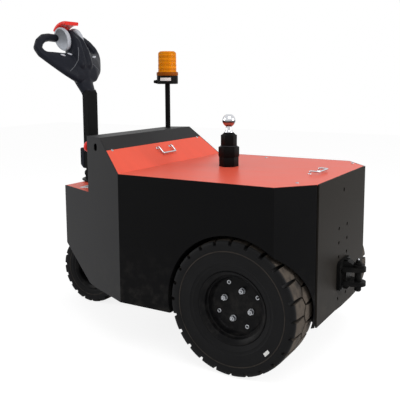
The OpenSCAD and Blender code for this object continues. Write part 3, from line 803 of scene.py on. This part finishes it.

# A tyre's section from its middle groove to its bead: each tread row is (y, r) on a lug's top and in a
# groove, and each wall row is (y, r). "swing" is a share of the zigzag setting, "gap" of a groove's width,
# "full" is where a groove reaches its whole width, and "ridge" holds the radii of the wall rows that
# get a painted highlight.
TYRES = {
    "rear": {
        "lugs": 24, "groove": (4.5, 214), "lip": (6, 228), "full": 58, "swing": 1, "gap": 1,
        "ridge": (193.4, 190.8),
        "tread": (
            (30, 228, 30, 214), (50, 228, 50, 214), (64, 227.5, 62, 213.5), (72, 226.5, 69, 213),
            (77, 223, 73.5, 212.5), (79.3, 217, 77.5, 211.8),
        ),
        "wall": (
            (79.8, 210.5), (80, 206), (79.9, 199), (79, 194.4), (80, 193.4), (80, 190.8), (78.6, 189.8),
            (78.2, 178), (76.6, 160), (77.6, 155), (77.6, 153), (75.6, 151), (74, 144), (74.6, 141),
            (72.6, 139), (70, 130), (66, 125), (64, 123), (62, 112),
        ),
    },
    "front": {
        "lugs": 20, "groove": (2.8, 140), "lip": (3.7, 149.9), "full": 30, "swing": 0.55, "gap": 1.5,
        "ridge": (118.4, 116.4),
        "tread": (
            (15, 149.9, 15, 140.5), (26, 149.9, 26, 140.5), (34, 149.3, 33, 140), (38.5, 147.6, 36, 139),
            (41, 144.6, 38.5, 138.5), (41.8, 140.6, 40.5, 137.8),
        ),
        "wall": (
            (42, 136.5), (42, 131), (41.6, 120), (41.4, 119.4), (42, 118.4), (42, 116.4), (41.2, 115.2),
            (40.6, 106), (40.9, 102.5), (39.6, 100), (38, 95), (35, 91), (33, 89.5), (32, 84),
        ),
    },
}


def wrapped_share(share):
    """A share of a pitch, brought between minus a half and a half."""
    return (share + 0.5) % 1 - 0.5


def tyre(kind, centre, tread):
    """A solid tyre: a spun section whose cuts are moved into lugs that interlock at a zigzag groove."""
    shape = TYRES[kind]
    half = [("groove", *shape["groove"]), ("lip", *shape["lip"])]
    half += [("tread", *row) for row in shape["tread"]] + [("wall", *row) for row in shape["wall"]]
    rows = [(side, row) for side, section in ((1, half[::-1]), (-1, half)) for row in section]
    bm = bmesh.new()
    number = bm.verts.layers.int.new("row")
    dust_and_highlight = bm.verts.layers.float.new("tread")
    points = [bm.verts.new((row[2], side * row[1], 0)) for side, row in rows]
    for index, pair in enumerate(zip(points, points[1:] + points[:1])):
        pair[0][number] = index
        bm.edges.new(pair)
    lugs, cuts = shape["lugs"], len(CUTS)
    bmesh.ops.spin(
        bm, geom=bm.verts[:] + bm.edges[:], axis=(0, -1, 0), cent=(0, 0, 0), dvec=(0, 0, 0),
        angle=2 * pi, steps=lugs * cuts, use_merge=True, use_duplicate=False,
    )
    dusty = shape["tread"][DUSTY_ROW][0]
    marked = shape["wall"][1][1]
    for vert in bm.verts:
        side, (zone, place, radius, *sunken) = rows[vert[number]]
        step = round(atan2(vert.co.z, vert.co.x) / (2 * pi) * lugs * cuts) % (lugs * cuts)
        pitch, cut = divmod(step, cuts)
        sunk = cut in FLOOR_CUTS[side]
        reach = 0.0
        if zone in ("groove", "lip"):
            swing = tread.zigzag * shape["swing"] * (1 - 4 * abs(wrapped_share(CUTS[cut])))
            y = swing + side * place
            if zone == "lip" and sunk:
                radius = shape["groove"][1]
        else:
            if zone == "tread" and sunk:
                place, radius = sunken
            reach = min(1.0, place / shape["full"])
            if zone == "wall" and radius == marked and cut == FLOOR_CUTS[side][1]:
                place += SHOULDER_MARK
            y = side * place
        squeeze = (tread.middle_squeeze + (1 - tread.middle_squeeze) * reach) * shape["gap"]
        offset = wrapped_share(CUTS[cut] - (0 if side > 0 else 0.5))
        width = abs(offset)
        if width <= GROOVE_EDGE:
            width *= squeeze
        else:
            inner = GROOVE_EDGE * squeeze
            width = inner + (width - GROOVE_EDGE) * (0.5 - inner) / (0.5 - GROOVE_EDGE)
        angle = (pitch + CUTS[cut] + copysign(width, offset) - offset) * 2 * pi / lugs
        vert.co = (radius * cos(angle), y, radius * sin(angle))
        vert[dust_and_highlight] = 1.0 if zone in ("lip", "tread") and not sunk and abs(y) < dusty else 0.0
        # Painted highlight: the sidewall's ridge rows get part of the dust colour, standing in for the
        # light caught along the ridge.
        if zone == "wall" and radius in shape["ridge"]:
            vert[dust_and_highlight] = PAINTED_RIDGE_HIGHLIGHT
    bmesh.ops.recalc_face_normals(bm, faces=bm.faces)
    return shifted(bm, centre)


# The blank label's place on the left rear tyre's wall, in mm and degrees.
LABEL_RADIUS, LABEL_Y, LABEL_ANGLE, LABEL_SLOPE = 177, 78.2, -137.7, 4.8


def centre_of(node):
    low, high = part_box(node)
    return TO_ROW.inverted() @ ((low + high) / 2)


class TRACTOR_OT_tyres(bpy.types.Operator):
    """Moulds the lugs, grooves and sidewall rings of the three tyres"""

    bl_idname = "tractor.tyres"
    bl_label = "Tyres"

    def execute(self, context):
        tread = context.scene.tractor_tread
        for side in SIDES:
            node = f"tyre_{side}"
            bm = tyre("rear", centre_of(node), tread)
            build(f"{node}_lugged", bm, "tyre_rubber", BODY_OF[node], (node,))
        bm = tyre("front", centre_of("front_tyre"), tread)
        build("front_tyre_lugged", bm, "tyre_rubber", "front_wheel", ("front_tyre",))

        label = block((-11, -0.9, -5.5), (11, 0.9, 5.5), 0.4, 1)
        slope = Matrix.Rotation(radians(LABEL_SLOPE), 4, "X")
        angle = radians(LABEL_ANGLE)
        turn = Matrix.Rotation(-(angle + pi / 2), 4, "Y")
        out = Matrix.Translation((LABEL_RADIUS * cos(angle), LABEL_Y, LABEL_RADIUS * sin(angle)))
        placed(label, Matrix.Translation(centre_of("tyre_left")) @ out @ turn @ slope)
        build("tyre_label", label, "blank_label", "wheel_left")
        return {"FINISHED"}


# Sections of the rims, as rows of sideways place and radius. The rear rims' fittings stand on RIM_FACE.
REAR_RIM = (
    (18, 0), (18, 84), (20, 92), (26, 97), (36, 99.5), (44, 100), (45, 103), (52, 104.5), (58, 106),
    (62, 110), (66, 116.5), (68, 120.5), (67.4, 123), (64.2, 123), (62, 119), (58, 114), (52, 111),
    (-52, 111), (-58, 114), (-62, 119), (-64.2, 123), (-67.4, 123), (-68, 120.5), (-64, 112),
    (-56, 105), (-48, 103), (4, 101), (8, 97), (10, 90), (10, 34), (-85.7, 34), (-85.7, 0),
)
FRONT_RIM = (
    (4, 15), (7, 15), (7, 22), (4, 23), (4, 62), (8, 68), (20, 71), (30, 72), (36, 76), (40, 82),
    (42, 87), (41.4, 90), (38.4, 90), (36, 86), (30, 83), (-30, 83), (-36, 86), (-38.4, 90), (-41.4, 90),
    (-42, 87), (-40, 82), (-36, 76), (-30, 72), (-20, 71), (-8, 68), (-4, 62), (-4, 23), (-7, 22), (-7, 15),
    (-4, 15),
)
FRONT_HUB = ((-49.7, 10), (-49.7, 21), (-47.5, 23), (47.5, 23), (49.7, 21), (49.7, 10))
SMALL_RING = ((0, 3.6), (0, 7.6), (1.6, 7.6), (2.6, 6.6), (2.6, 4.6), (1.8, 3.6))
RIM_FACE = 18


class TRACTOR_OT_rims(bpy.types.Operator):
    """Spins the stepped wheel rims and sets their nuts, studs and small rings"""

    bl_idname = "tractor.rims"
    bl_label = "Rims"

    def execute(self, context):
        wheels = context.scene.tractor_wheels
        for side, sign in SIDES.items():
            centre = centre_of(f"tyre_{side}")
            body = BODY_OF[f"tyre_{side}"]
            rim = lathe([(sign * y, r) for y, r in REAR_RIM], centre, "Y", 96)
            build(f"rim_{side}_stepped", rim, "rim_grey", body, (f"rim_{side}",), sharp=28)
            stud = lathe([(0, 0), (0, 4.6), (19.5, 4.6), (21, 3.4), (21, 0)], steps=20)
            washer = lathe([(0, 0), (0, 10.6), (3.6, 10.6), (4.2, 10), (4.2, 0)], steps=28)
            nut = joined(hex_bar(9.4, 4.2, 14.5, 1), washer, stud)
            ring = lathe(SMALL_RING, steps=28, ring=True)
            for name, fitting, circle, first in (
                ("nuts", nut, wheels.nut_circle, 18.5), ("rings", ring, wheels.ring_circle, 64.4)
            ):
                spot = centre + Vector((circle, sign * RIM_FACE, 0))
                placed(fitting, standing(spot, Vector((0, sign, 0)), "X"))
                fittings = turned_copies(fitting, 4, centre, first)
                build(f"wheel_{name}_{side}", fittings, "nut_zinc", body)
        centre = centre_of("front_tyre")
        rim = lathe(FRONT_RIM, centre, "Y", 72, ring=True)
        hub = lathe(FRONT_HUB, centre, "Y", 40, ring=True)
        build("front_rim_stepped", joined(rim, hub), "rim_grey", "front_wheel", ("front_rim",), sharp=28)
        bolts = [
            hex_bolt(6.5, 5, centre + Vector((44, side * 4, 0)), Vector((0, side, 0)), 1.2)
            for side in SIDES.values()
        ]
        build("front_rim_bolts", turned_copies(joined(*bolts), 5, centre), "nut_zinc", "front_wheel")
        return {"FINISHED"}


# The jaw's hump, as bars for a wedge, and the drop pin, as rows of height and radius.
HITCH_HUMP = (
    (-261, 336, 26), (-270, 339, 22), (-284, 334, 17), (-298, 321, 14), (-300, 318, 14), (-261, 318, 26),
)
PIN_X = -306
KNOB = 4.6
DROP_PIN = (
    (232, 0), (232, 8), (236, 12), (328.3, 12), (328.3, 13.4), (329, 14), (333, 14), (334.3, 13),
    (334.3, 8), (341, 8), (343, 6.5), (343, 0),
)


def arc(middle, radius, first, last, steps):
    """Rows for a lathe along part of a ball, from one angle off its axis to another."""
    angles = (first + (last - first) * i / steps for i in range(steps + 1))
    return [(middle + radius * cos(angle), radius * sin(angle)) for angle in angles]


class TRACTOR_OT_hitch(bpy.types.Operator):
    """Adds the jaw's hump and bolts, and turns the drop pin with its collar, bracket and bright knob"""

    bl_idname = "tractor.hitch"
    bl_label = "Hitch"

    def execute(self, context):
        hump = bevelled(wedge(HITCH_HUMP), 3.5, 3)
        build("hitch_hump", hump, "cast_black", "chassis", weighted=True)
        back = Vector((-1, 0, 0))
        bolts = [hex_bolt(8, 3.5, (-261, y, 252), back, 1.5) for y in (-46, 46)]
        build("hitch_bolts", joined(*bolts), "cast_black", "chassis")
        pin = lathe(DROP_PIN, (PIN_X, 0, 0), "Z", 40)
        bracket = block((PIN_X - 5, -6, 333), (PIN_X + 5, 6, 341), 2, 2)
        build("hitch_pin_turned", joined(pin, bracket), "cast_black", "tow_pin", ("hitch_pin",), sharp=30)
        knob = lathe(arc(340 + KNOB, KNOB, pi, 0, 12), (PIN_X, 0, 0.1), "Z", 24)
        build("hitch_pin_knob", knob, "nut_zinc", "tow_pin", sharp=60)
        return {"FINISHED"}


# The tow ball's radius, its centre's height, its flat's height over that, and its neck's radius.
BALL, BALL_Z, BALL_FLAT, NECK = 25, 813, 23, 11.5


class TRACTOR_OT_tower(bpy.types.Operator):
    """Builds the hexagonal tower and the chrome tow ball on it"""

    bl_idname = "tractor.tower"
    bl_label = "Tower and ball"

    def execute(self, context):
        middle = centre_of("ball_tower")
        middle.z = 0
        base = hex_bar(37.5, 639, 676, 1.5)
        nut = hex_bar(40.5, 675, 715, 4)
        collar = hex_bar(31, 714, 759, 1.5)
        cone = lathe([(756, 0), (756, 27), (759.5, 26.5), (768, 17.5), (769, 14), (769, 0)], steps=48)
        tower = shifted(joined(base, nut, collar, cone), middle)
        build("tower_bars", tower, "cast_black", "chassis", ("ball_tower",), sharp=25)
        ring = lathe([(715, 30), (717.2, 33), (718.2, 31.5), (718.2, 29)], steps=48, ring=True)
        build("tower_ring", shifted(ring, middle), "drive_grey", "chassis")
        rows = [(762, 0), (762, 16.5), (769, 16.4), (774, 13.6), (779, NECK), (787, NECK)]
        rows += arc(BALL_Z, BALL, pi - asin(NECK / BALL), acos(BALL_FLAT / BALL), 32)
        ball = shifted(lathe(rows + [(BALL_Z + BALL_FLAT, 0)], steps=64), middle)
        build("tow_ball_turned", ball, "bright_steel", "chassis", ("tow_ball",), sharp=30)
        return {"FINISHED"}


# The beacon's parts, from its base up, as rows of height and radius.
BEACON = Vector((625, -222.2, 0))
BEACON_BASE = ((947, 0), (947, 43), (949, 45.4), (952, 46), (980, 46), (983, 45), (983, 0))
BEACON_FLANGE = ((983, 30), (983, 46), (985, 47), (996, 47), (998, 46), (998.6, 41), (998.6, 30))
GLAND = ((38, 0), (38, 8.5), (50, 8.5), (50.5, 7.5), (53, 7), (59, 6), (60, 4.5), (60, 0))
LENS_GROOVES = (1007, 1034, 1067)


def lens_rows():
    """The lens's section: fine ribs between three deeper grooves, and a rounded top."""
    rows = [(998, 0), (998, 40.4)]
    z, radius = 1001.0, 40.2
    for groove in LENS_GROOVES:
        while z < groove - 3.4:
            rows += [(z, radius), (z + 2.2, radius - 0.5), (z + 3.0, radius - 0.5), (z + 4.2, radius)]
            z += 6.6
        floor = radius - 1.6
        rows += [(groove - 1.4, radius), (groove - 0.7, floor)]
        rows += [(groove + 0.7, floor), (groove + 1.4, radius - 0.2)]
        z = groove + 2.0
        radius -= 0.35
    rows += [(1078, radius), (1081, radius - 0.8), (1086, radius - 6), (1087.4, radius - 9)]
    return rows + [(1088, 0)]


class TRACTOR_OT_beacon(bpy.types.Operator):
    """Builds the beacon: gland, round base with a blank label, flange and ribbed amber lens"""

    bl_idname = "tractor.beacon"
    bl_label = "Beacon"

    def execute(self, context):
        gland = joined(
            lathe(GLAND, axis="X", steps=24),
            placed(hex_bar(9.6, 44, 50, 0.8), Matrix.Rotation(pi / 2, 4, "Y")),
        )
        placed(gland, Matrix.Translation((0, 0, 957)) @ Matrix.Rotation(radians(30), 4, "Z"))
        base = shifted(joined(lathe(BEACON_BASE, steps=72), gland), BEACON)
        build("beacon_base_moulded", base, "cast_black", "chassis", ("beacon_base",))
        plate = ((961, 45.5), (961, 46.6), (974, 46.6), (974, 45.5))
        label = lathe(plate, BEACON, steps=16, ring=True, start=82, turn=60)
        build("beacon_label", label, "blank_label", "chassis")
        flange = lathe(BEACON_FLANGE, BEACON, steps=72, ring=True)
        build("beacon_flange", flange, "lens_flange", "chassis")
        lens = lathe(lens_rows(), BEACON, steps=72)
        build("beacon_lens_ribbed", lens, "amber_lens", "chassis", ("beacon_lens",), sharp=50)
        return {"FINISHED"}


# The emergency stop's red head, as rows of distance from the cowl and radius.
STOP_HEAD = (
    (8, 0), (8, 12), (20, 12.6), (22, 18.5), (24.5, 20), (31, 20), (35, 18.6), (38, 15), (39.6, 9), (40, 0),
)


class TRACTOR_OT_stop(bpy.types.Operator):
    """Builds the mushroom-headed emergency stop on the front of the cowl"""

    bl_idname = "tractor.stop"
    bl_label = "Emergency stop"

    def execute(self, context):
        low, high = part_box("emergency_stop")
        place = TO_ROW.inverted() @ Vector((low.x, (low.y + high.y) / 2, (low.z + high.z) / 2))
        collar = lathe([(0, 0), (0, 17), (2, 17), (3.5, 15.5), (9, 14.5), (9, 0)], place, "X", 40)
        build("stop_collar", collar, "cast_black", "chassis")
        cap = lathe(STOP_HEAD, place, "X", 48)
        build("stop_mushroom", cap, "red_plastic", "chassis", ("emergency_stop",), sharp=50)
        return {"FINISHED"}


# Each drop handle's place and the slope it lies on, in degrees.
HANDLES = {"slope_handle": ((506, -8, 696), 43), "deck_handle": ((-140, 3, 640), 0)}
HANDLE_HALF = 45


class TRACTOR_OT_handles(bpy.types.Operator):
    """Bends the two drop handles, folded down on the deck and on the slope"""

    bl_idname = "tractor.handles"
    bl_label = "Drop handles"

    def execute(self, context):
        drop = context.scene.tractor_edges.handle_drop
        half = [
            (0, HANDLE_HALF, -2), (0, HANDLE_HALF, 5), (-1, HANDLE_HALF, 8), (-6, HANDLE_HALF, 9.5),
            (-drop * 0.7, HANDLE_HALF, 8.5), (-drop, 43, 8), (-drop, 40, 8), (-drop, 24, 8),
        ]
        path = half + [(x, -y, z) for x, y, z in half[::-1]]
        for node, (place, lean) in HANDLES.items():
            feet = [dome(6.5, 2.4, (0, side * HANDLE_HALF, 0)) for side in SIDES.values()]
            handle = placed(joined(rod(path, 3.6), *feet), leaning(place, -lean))
            build(f"{node}_folded", handle, SLOT_OF[node], "chassis", (node,), sharp=50)
        return {"FINISHED"}


# Each cover screw's place and the slope it stands on, in degrees.
SCREWS = (
    (-177, 253, 639, 0), (-183, -299, 639, 0), (188, -304, 639, 0),
    (524, -300, 712, 43), (524, 300, 712, 43),
)


class TRACTOR_OT_screws(bpy.types.Operator):
    """Sets the deck's and the slope's screws and the steering's bright plate"""

    bl_idname = "tractor.screws"
    bl_label = "Screws and trim"

    def execute(self, context):
        screws = [
            placed(dome(5.5, 3.2, (0, 0, 0), socket=2.4), leaning(place, -lean)) for *place, lean in SCREWS
        ]
        build("cover_screws", joined(*screws), "nut_zinc", "chassis")
        rows = ((542, 157), (542, 215), (542.8, 215), (543.2, 214), (543.2, 158), (542.8, 157))
        plate = lathe(rows, (800, 0, 0), "Z", 16, ring=True, start=100, turn=23)
        build("steering_plate", plate, "zinc_steel", "chassis")
        return {"FINISHED"}


# Bones of the tiller's head: centre and radii in its own frame: forward (u), sideways (v) and up (w).
SPINE = (
    ((2, 0, 16), (23, 38, 13)), ((2, 0, 56), (27, 46, 24)), ((-5, 0, 98), (34, 62, 42)),
    ((-14, 0, 150), (42, 54, 40)), ((-22, 0, 215), (46, 30, 38)), ((-16, 0, 250), (46, 21, 48)),
)
BACK = (
    ((-26, 20, 130), (34, 32, 34)), ((-38, 18, 175), (34, 24, 30)), ((-42, 15, 220), (30, 18, 30)),
    ((-26, 9, 262), (28, 14, 28)),
)
LOOP = (
    ((14, 24, 276), (17, 17, 17)), ((14, 60, 278), (17, 17, 17)), ((12, 92, 278), (17, 17, 17)),
    ((12, 124, 272), (17, 17, 18)), ((15, 152, 255), (17, 18, 18)), ((17, 174, 227), (17, 18, 18)),
    ((13, 171, 201), (17, 18, 19)), ((6, 155, 180), (17, 21, 24)), ((-1, 126, 160), (18, 30, 40)),
    ((-8, 94, 140), (22, 38, 54)), ((-12, 54, 122), (28, 36, 68)), ((-8, 20, 94), (28, 42, 44)),
)
SEAM = (
    (-66, 31, 190), (-64, 33, 177), (-57, 38, 157), (-49, 44, 137), (-38, 53, 125), (-35, 71, 111),
    (-21, 97, 95),
)
BUTTONS = ((-22, 95, 168), (-20, 52, 168), (-22, -100, 164), (-20, -52, 168))
HEAD_FOOT = (876, 0, 905)


def ellipsoids(bm, *bones):
    for centre, radii in bones:
        made = bmesh.ops.create_icosphere(bm, subdivisions=3, radius=1)["verts"]
        bmesh.ops.scale(bm, vec=radii, verts=made)
        bmesh.ops.translate(bm, vec=centre, verts=made)


def bone(first, second):
    """The skin stretched over two ellipsoids."""
    bm = bmesh.new()
    ellipsoids(bm, first, second)
    bmesh.ops.delete(bm, geom=bm.faces[:], context="FACES_ONLY")
    bmesh.ops.delete(bm, geom=bm.edges[:], context="EDGES_FACES")
    return wrapped(bm)


def remeshed(bm, step, rounds):
    """One even skin round everything in a mesh, with its creases smoothed."""
    mesh = as_mesh("skin", bm)
    holder = shown("skin", mesh)
    skin = holder.modifiers.new("skin", "REMESH")
    skin.mode = "VOXEL"
    skin.voxel_size = step
    smooth = holder.modifiers.new("smooth", "SMOOTH")
    smooth.factor = 0.5
    smooth.iterations = rounds
    graph = bpy.context.evaluated_depsgraph_get()
    made = bpy.data.meshes.new_from_object(holder.evaluated_get(graph))
    whole = bmesh.new()
    whole.from_mesh(made)
    bpy.data.objects.remove(holder)
    bpy.data.meshes.remove(made)
    bpy.data.meshes.remove(mesh)
    return whole


def path_on(tree, route):
    """Points just under a skin, six for each stretch of a route."""
    path = []
    for first, second in zip(route, route[1:]):
        for i in range(6):
            near, normal = tree.find_nearest(Vector(first).lerp(Vector(second), i / 6))[:2]
            path.append(near - normal * 0.2)
    return path


class TRACTOR_OT_head(bpy.types.Operator):
    """Shapes the tiller's head and hand loops as one skin, with paler beads along its seam lines as painted
    highlights, and its oval buttons
    """

    bl_idname = "tractor.head"
    bl_label = "Tiller head"

    def execute(self, context):
        head = context.scene.tractor_head
        bones = [bone(*pair) for pair in zip(SPINE, SPINE[1:])]
        for side in SIDES.values():
            for half in (BACK, LOOP):
                chain = [((u, side * v, w), radii) for (u, v, w), radii in half]
                bones += [bone(*pair) for pair in zip(chain, chain[1:])]
        skin = remeshed(joined(*bones), head.grain, 8)
        tree = BVHTree.FromBMesh(skin)
        # Thin paler rods along the seam lines: a painted highlight standing in for the light caught by the
        # edges where the head's parts meet.
        seam_highlight_rods = [
            rod(path_on(tree, [(u, side * v, w) for u, v, w in SEAM]), 1.5, 8) for side in SIDES.values()
        ]
        buttons = []
        facing = Matrix.Rotation(radians(-45), 4, "Y")
        out = facing @ Vector((0, 0, 1))
        for spot in BUTTONS:
            button = bmesh.new()
            ellipsoids(button, ((0, 0, 0), (7.5, head.button, 4.5)))
            slant = Matrix.Rotation(radians(copysign(14, spot[1])), 4, "X")
            foot = tree.ray_cast(Vector(spot) + 80 * out, -out)[0]
            buttons.append(placed(button, Matrix.Translation(foot + 0.5 * out) @ slant @ facing))
        for name, bm, paint, used in (
            ("head_skin", skin, "grip_plastic", ("tiller_head", "hand_loops")),
            ("seam_highlight_beads", joined(*seam_highlight_rods), "head_seam", ()),
            ("head_buttons", joined(*buttons), "paddle_dish", ()),
        ):
            build(name, placed(bm, leaning(HEAD_FOOT, head.lean)), paint, "tiller", used, sharp=80)
        return {"FINISHED"}


# Rows of a throttle paddle: distance sideways from the head's middle, and a share of its radius.
PADDLE_RIM = (
    (27, 0), (27, 0.86), (30, 0.94), (35, 0.985), (43, 1.0), (48, 0.99), (51.4, 0.95), (52, 0.91),
    (51.4, 0.87), (49.6, 0.83), (44, 0.8), (39, 0),
)
PADDLE_DISH = (
    (40.2, 0), (41.4, 0.2), (42.4, 0.42), (44.4, 0.62), (47.6, 0.78), (50.2, 0.86), (48, 0.86),
)
PADDLE_HUB = (-17, 0, 255)
PADDLE_SIZE = (36.5, 53)
CAP_CENTRE = (974, 0, 1142)
CAP_CORNER = 5.0


def paddles(rows):
    """Both throttle paddles: ovals that widen towards the top."""
    both = []
    for side in SIDES.values():
        oval = lathe([(side * y, r) for y, r in rows], axis="Y")
        for vert in oval.verts:
            vert.co.x *= PADDLE_SIZE[0] + 3 * vert.co.z
            vert.co.z *= PADDLE_SIZE[1]
        both.append(shifted(oval, PADDLE_HUB))
    return joined(*both)


def cap_section():
    """The cap's section, as rows of sideways place and radius, with rounded corners."""
    inner, outer = 57, 72
    rows = []
    for y, r, first in ((42, inner, -90), (42, outer, 0), (-42, outer, 90), (-42, inner, 180)):
        middle = y - copysign(CAP_CORNER, y), r + (CAP_CORNER if r == inner else -CAP_CORNER)
        for angle in (radians(first + 30 * k) for k in range(4)):
            rows.append((middle[0] + CAP_CORNER * cos(angle), middle[1] + CAP_CORNER * sin(angle)))
    return rows


class TRACTOR_OT_controls(bpy.types.Operator):
    """Adds the throttle paddles and the red cap of the head"""

    bl_idname = "tractor.controls"
    bl_label = "Head controls"

    def execute(self, context):
        stand = leaning(HEAD_FOOT, context.scene.tractor_head.lean)
        rims, dishes = placed(paddles(PADDLE_RIM), stand), placed(paddles(PADDLE_DISH), stand)
        build("paddle_rims", rims, "grey_plastic", "tiller", ("throttle_wings",), sharp=45)
        build("paddle_dishes", dishes, "paddle_dish", "tiller", sharp=45)
        cap = lathe(cap_section(), CAP_CENTRE, "Y", 24, ring=True, start=29, turn=69)
        build("head_cap_moulded", cap, "red_plastic", "tiller", ("head_cap",), sharp=40)
        return {"FINISHED"}


class TRACTOR_PT_panel(bpy.types.Panel):
    """Shows the tractor's settings and a button for each of its steps"""

    bl_idname = "TRACTOR_PT_panel"
    bl_label = "Electric tow tractor"
    bl_space_type = "VIEW_3D"
    bl_region_type = "UI"
    bl_category = "Tractor"

    def draw(self, context):
        for name in SETTINGS:
            group = getattr(context.scene, name)
            for prop in group.bl_rna.properties:
                if prop.identifier not in ("rna_type", "name"):
                    self.layout.prop(group, prop.identifier)
        for operator in OPERATORS:
            self.layout.operator(operator.bl_idname)


OPERATORS = (
    TRACTOR_OT_stage,
    TRACTOR_OT_finishes,
    TRACTOR_OT_panels,
    TRACTOR_OT_castings,
    TRACTOR_OT_tyres,
    TRACTOR_OT_rims,
    TRACTOR_OT_hitch,
    TRACTOR_OT_tower,
    TRACTOR_OT_beacon,
    TRACTOR_OT_stop,
    TRACTOR_OT_handles,
    TRACTOR_OT_screws,
    TRACTOR_OT_head,
    TRACTOR_OT_controls,
)


def register():
    for group in SETTINGS.values():
        bpy.utils.register_class(group)
    for name, group in SETTINGS.items():
        setattr(bpy.types.Scene, name, bpy.props.PointerProperty(type=group))
    for item in (*OPERATORS, TRACTOR_PT_panel):
        bpy.utils.register_class(item)


def unregister():
    for item in reversed((*OPERATORS, TRACTOR_PT_panel)):
        bpy.utils.unregister_class(item)
    for name, group in SETTINGS.items():
        delattr(bpy.types.Scene, name)
        bpy.utils.unregister_class(group)


def main():
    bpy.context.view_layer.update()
    register()
    for operator in OPERATORS:
        family, action = operator.bl_idname.split(".")
        getattr(getattr(bpy.ops, family), action)()


if __name__ == "__main__":
    main()
